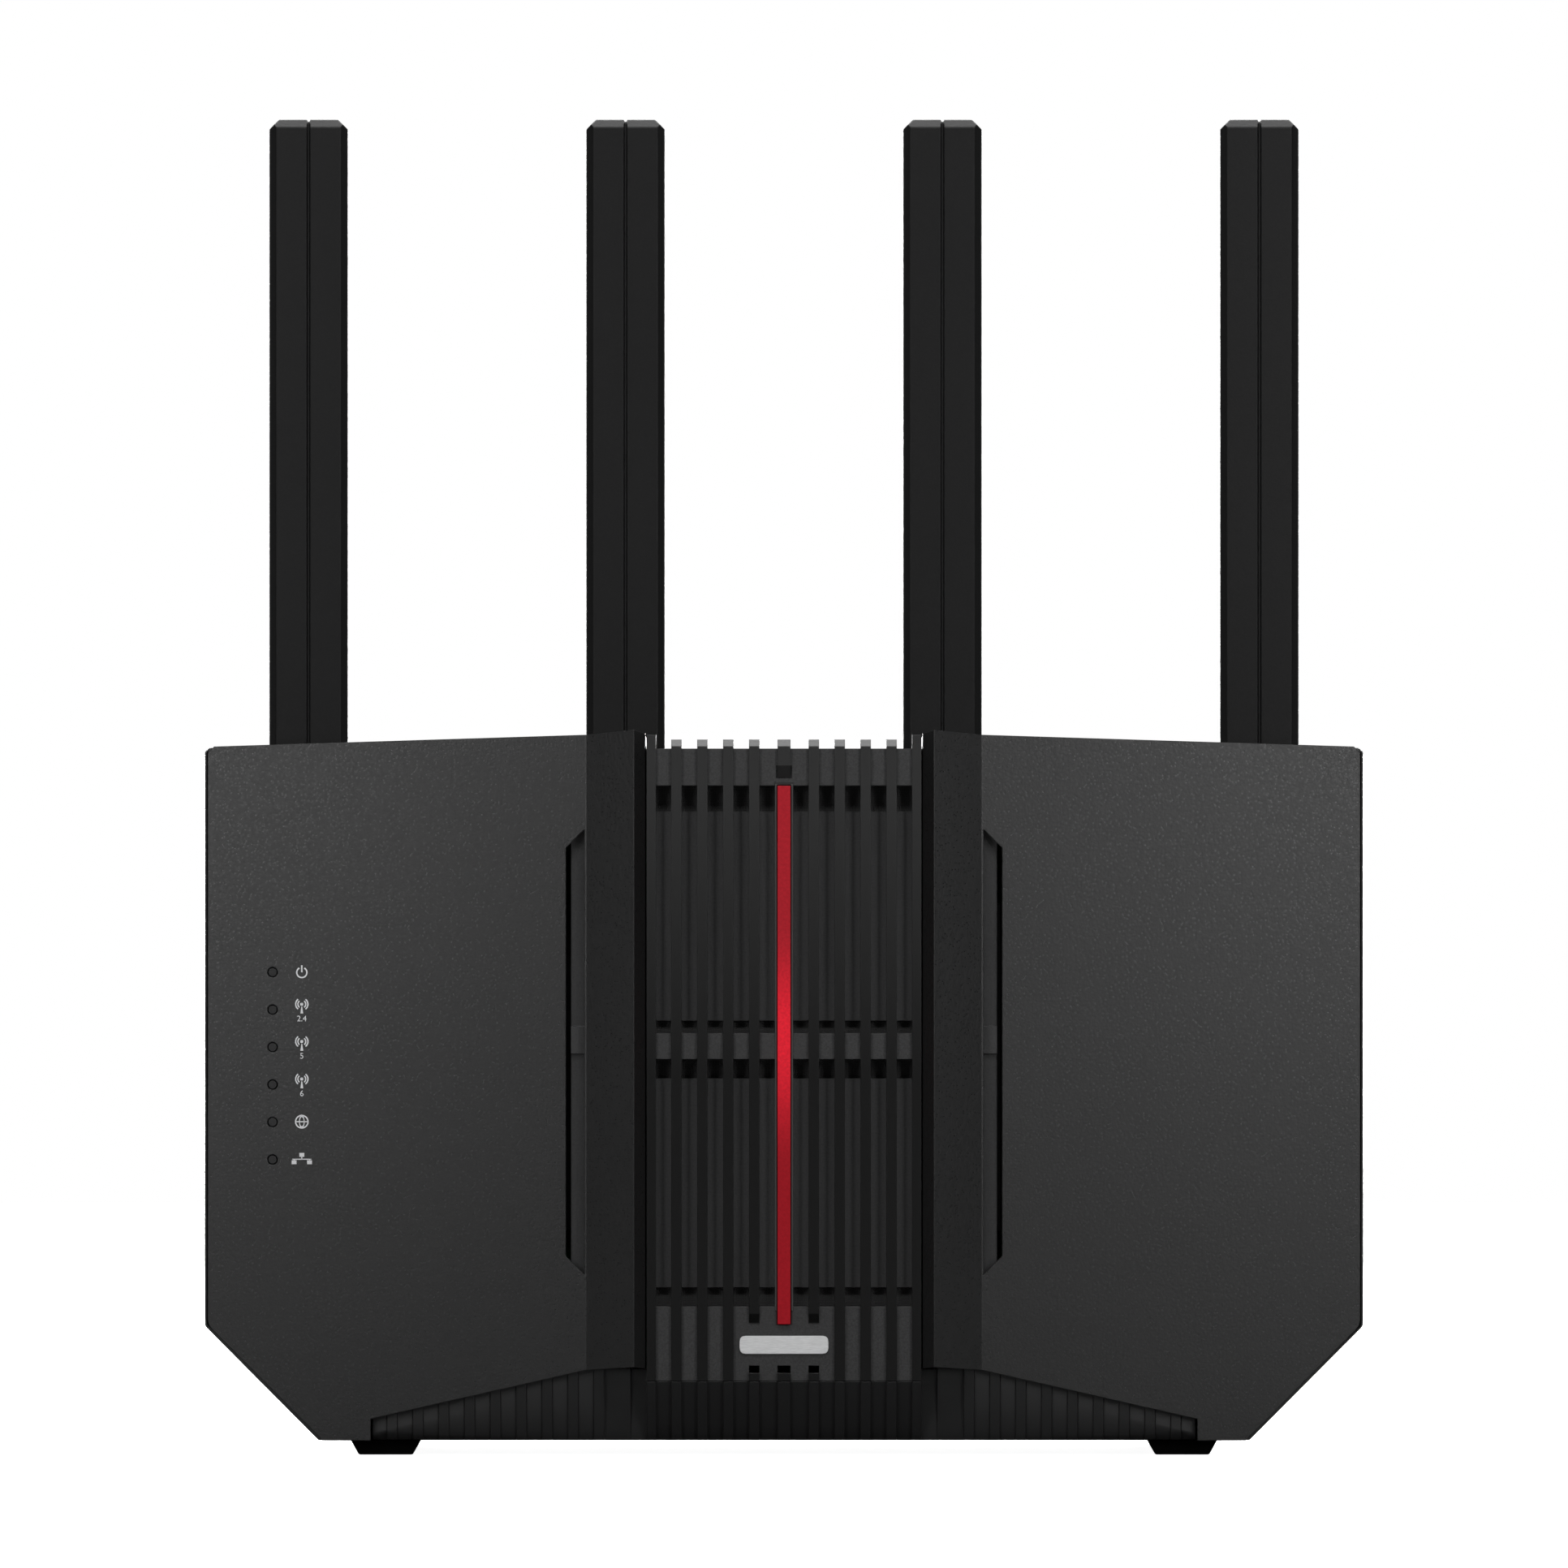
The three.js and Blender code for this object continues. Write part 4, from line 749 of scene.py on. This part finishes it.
def socketMarks(look):
    ink = look["ink"]
    wall = "port_box"
    for n, name in enumerate(jackNames):
        low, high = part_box(name)
        x = (low.x + high.x) / 2
        z = high.z + look["markRise"]
        if n:
            words = numeral(str(n), look["numberSize"], ink)
            printOn(layOn(words, wall, x, z, True), f"{name}_mark")
        else:
            printOn(layOn(globeMark(look), wall, x, z, True), f"{name}_mark")
    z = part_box("wan_jack")[1].z + look["markRise"]
    for name, made in (
        ("power_button", powerMark(look)),
        ("wps_button", joinAll([
            flatRing(0.0014, 0.00108, ink, lambda a: 20 < a < 150),
            flatRing(0.0014, 0.00108, ink, lambda a: -160 < a < -30),
        ], "pairMark")),
        ("reset_button", flatRing(0.0009, 0.00064, ink)),
        ("dc_inlet", joinAll([
            slab(0.0034, ink, 0.0003, (0, 0, 0.0004)),
            *[slab(0.0009, ink, 0.0003, (side * 0.00125, 0, -0.0004)) for side in (-1, 0, 1)],
        ], "directMark")),
        ("usb_port", joinAll([
            slab(0.0034, ink, 0.0003, (0, 0, 0.0006)),
            slab(0.0034, ink, 0.0003, (0, 0, -0.0006)),
            *[slab(0.0003, ink, 0.0015, (side * 0.00155, 0, 0)) for side in (-1, 1)],
            slab(0.0022, ink, 0.0003, (0, 0, 0.0001)),
        ], "slotMark")),
    ):
        low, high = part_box(name)
        printOn(layOn(made, wall, (low.x + high.x) / 2, z, True), f"{name}_mark")


jackContacts(socketSizes)
usbPads(socketSizes)
socketMarks(socketSizes)
print("sockets: contacts and marks made")


# Fine black gauze behind the slots of the louvre plate: a dark sheet that stands in for the shade inside the
# vent, painted shade
shadeGauzeLook = {"behind": 0.0003, "thick": 0.0002, "margin": 0.001, "thread": 0.00035}


def gauzeFinish(look):
    material, tree, shader, place = newMaterial("blackShadeGauze")
    weave = []
    for axis in ("X", "Z"):
        along = addNode(tree, "ShaderNodeSeparateXYZ", {0: place}).outputs[axis]
        wave = addMath(tree, "SINE", addMath(tree, "MULTIPLY", along, 2 * math.pi / look["thread"]))
        weave.append(addRange(tree, wave, -1, 1, 0, 1))
    threads = addMath(tree, "MAXIMUM", weave[0], weave[1])
    mixed = mixColours(tree, threads, tone(0.02), tone(0.04))
    tree.links.new(mixed, shader.inputs["Base Color"])
    tree.links.new(addRange(tree, threads, 0, 1, 0.8, 0.55), shader.inputs["Roughness"])
    bump = addNode(tree, "ShaderNodeBump", {"Height": threads, "Strength": 0.6, "Distance": 0.0001})
    tree.links.new(bump.outputs["Normal"], shader.inputs["Normal"])
    return material


def ventGauze(look):
    low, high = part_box("louvre_plate")
    width = high.x - low.x - look["margin"]
    depth = high.y + look["behind"]
    middle = ((low.x + high.x) / 2, depth, (low.z + high.z) / 2)
    sheet = slab(width, look["thick"], high.z - low.z - look["margin"], middle)
    bpy.ops.object.mode_set(mode="EDIT")
    bpy.ops.mesh.select_all(action="SELECT")
    bpy.ops.mesh.subdivide(number_cuts=3)
    bpy.ops.object.mode_set(mode="OBJECT")
    # painted shade: the dark sheet fills the slots with shade
    finishPiece(named("ventGauze", sheet), "body", gauzeFinish(look))


ventGauze(shadeGauzeLook)

# Screws: a domed head with a cross recess, cut by a cutter that is then thrown away
screwLook = {
    "dome": 0.00035,
    "rings": (0.0004, 0.0007),
    "arm": 0.0008,
    "reach": 0.0031,
    "deep": 0.0008,
    "sides": 40,
}


def screwHead(look, name):
    low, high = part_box(name)
    radius = (high.x - low.x) / 2
    middle = (low + high) / 2
    bpy.ops.object.select_all(action="DESELECT")
    bpy.ops.mesh.primitive_cylinder_add(
        vertices=look["sides"], radius=radius, depth=high.y - low.y, location=middle, rotation=faceFront
    )
    head = settle(bpy.context.active_object)
    pickFaces(head, lambda face: face.normal.y > 0.9)
    for ring in look["rings"]:
        bpy.ops.mesh.inset(thickness=ring)
    bpy.ops.object.mode_set(mode="OBJECT")
    for vertex in head.data.vertices:
        out = math.hypot(vertex.co.x - middle.x, vertex.co.z - middle.z) / radius
        if vertex.co.y > middle.y:
            vertex.co.y -= look["dome"] * out ** 4
    cutters = [
        slab(look["arm"], look["deep"] * 2, look["reach"], (middle.x, high.y, middle.z)),
        slab(look["reach"], look["deep"] * 2, look["arm"], (middle.x, high.y, middle.z)),
    ]
    for cutter in cutters:
        cut = head.modifiers.new("cross", "BOOLEAN")
        cut.object = cutter
        cut.operation = "DIFFERENCE"
        cut.solver = "EXACT"
        only(head)
        bpy.ops.object.modifier_apply(modifier=cut.name)
        bpy.data.objects.remove(cutter)
    tidyNormals(head)
    bpy.ops.object.shade_smooth_by_angle(angle=math.radians(35))
    finishPiece(named(f"{name}_head", head), "body", tinnedSteel)
    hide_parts(name)


for row in ("upper", "lower"):
    for side in sides:
        screwHead(screwLook, f"housing_screw_{row}_{side}")
print("screws: cut")


# Stage, lights and camera

stageLook = {"radius": 2.4, "tone": 0.86, "bounce": 0.1, "lift": 0.95}
bpy.ops.mesh.primitive_circle_add(vertices=96, radius=stageLook["radius"], fill_type="NGON")
floor = named("studioFloor")
floorPaint = mouldedPlastic({
    "name": "studioFloorPaint",
    "tone": stageLook["tone"],
    "tint": (1, 1, 1),
    "speckle": 0.01,
    "grain": 0.004,
    "clouds": 0.3,
    "cloudiness": 0.01,
    "rough": 0.8,
    "roughSpread": 0.05,
    "bump": 0.05,
    "depth": 0.0002,
})
# The paint looks pale, but throws little light back up at the dark plastics.
paintTree = floorPaint.node_tree
paintShader = next(n for n in paintTree.nodes if n.type == "BSDF_PRINCIPLED")
pale = paintShader.inputs["Base Color"].links[0].from_socket
looked = addNode(paintTree, "ShaderNodeLightPath").outputs["Is Camera Ray"]
painted = mixColours(paintTree, looked, tone(stageLook["bounce"]), pale)
paintTree.links.new(painted, paintShader.inputs["Base Color"])
paintShader.inputs["Emission Color"].default_value = (1, 1, 1, 1)
lifted = addMath(paintTree, "MULTIPLY", looked, stageLook["lift"])
paintTree.links.new(lifted, paintShader.inputs["Emission Strength"])
floor.data.materials.append(floorPaint)


def softbox(name, place, aim, size, power):
    light = bpy.data.lights.new(name, "AREA")
    light.shape = "RECTANGLE"
    light.size, light.size_y = size
    light.energy = power
    lamp = bpy.data.objects.new(name, light)
    bpy.context.collection.objects.link(lamp)
    lamp.location = place
    lamp.rotation_euler = (Vector(aim) - Vector(place)).to_track_quat("-Z", "Y").to_euler()


softbox("brow", (0, -0.9, 0.92), (0, 0, 0.12), (0.3, 0.2), 3.6)
softbox("rear", (0, 1.3, 1.3), (0, 0, 0.1), (1.2, 0.5), 22)
for side in (-1, 1):
    softbox(f"rim_{side}", (side * 0.42, 1.5, 0.3), (side * 0.135, 0, 0.1), (0.28, 0.55), 14.0)
softbox("crown", (0, 0.35, 1.9), (0, 0.05, 0), (1.5, 1.0), 52)
softbox("leftKey", (-0.385, -0.88, 0.32), (-0.06, 0, 0.12), (0.2, 0.46), 1.55)
softbox("rightKey", (0.385, -0.88, 0.32), (0.06, 0, 0.12), (0.2, 0.46), 1.8)

worldLook = {"seen": 1.0, "behind": 0.7, "front": 0.015}
world = bpy.data.worlds.new("studioAir")
bpy.context.scene.world = world
world.use_nodes = True
air = world.node_tree
air.nodes.clear()
direction = addNode(air, "ShaderNodeTexCoord").outputs["Generated"]
away = addNode(air, "ShaderNodeSeparateXYZ", {0: direction}).outputs["Y"]
around = addRange(air, away, -0.1, 0.5, worldLook["front"], worldLook["behind"])
seenByCamera = addNode(air, "ShaderNodeLightPath").outputs["Is Camera Ray"]
strength = addNode(air, "ShaderNodeMix", {
    0: seenByCamera, 2: around, 3: worldLook["seen"],
}, data_type="FLOAT").outputs[0]
background = addNode(air, "ShaderNodeBackground", {"Color": (1, 1, 1, 1), "Strength": strength})
addNode(air, "ShaderNodeOutputWorld", {"Surface": background.outputs["Background"]})

cameraLook = {
    "distance": 4.0,
    "width": 0.36258,  # how much of the ridges' plane the picture spans
    "height": 0.1558,
    "sensor": 36,
}
cameraData = bpy.data.cameras.new("frontCamera")
cameraData.sensor_width = cameraLook["sensor"]
cameraData.lens = cameraLook["sensor"] * cameraLook["distance"] / cameraLook["width"]
cameraData.clip_end = 40
camera = bpy.data.objects.new("frontCamera", cameraData)
bpy.context.collection.objects.link(camera)
camera.location = (0, cadBounds[0].y - cameraLook["distance"], cameraLook["height"])
camera.rotation_euler = (math.radians(90), 0, 0)
bpy.context.scene.camera = camera
bpy.context.scene.view_settings.view_transform = "Standard"
print("stage: lit")

print("done")
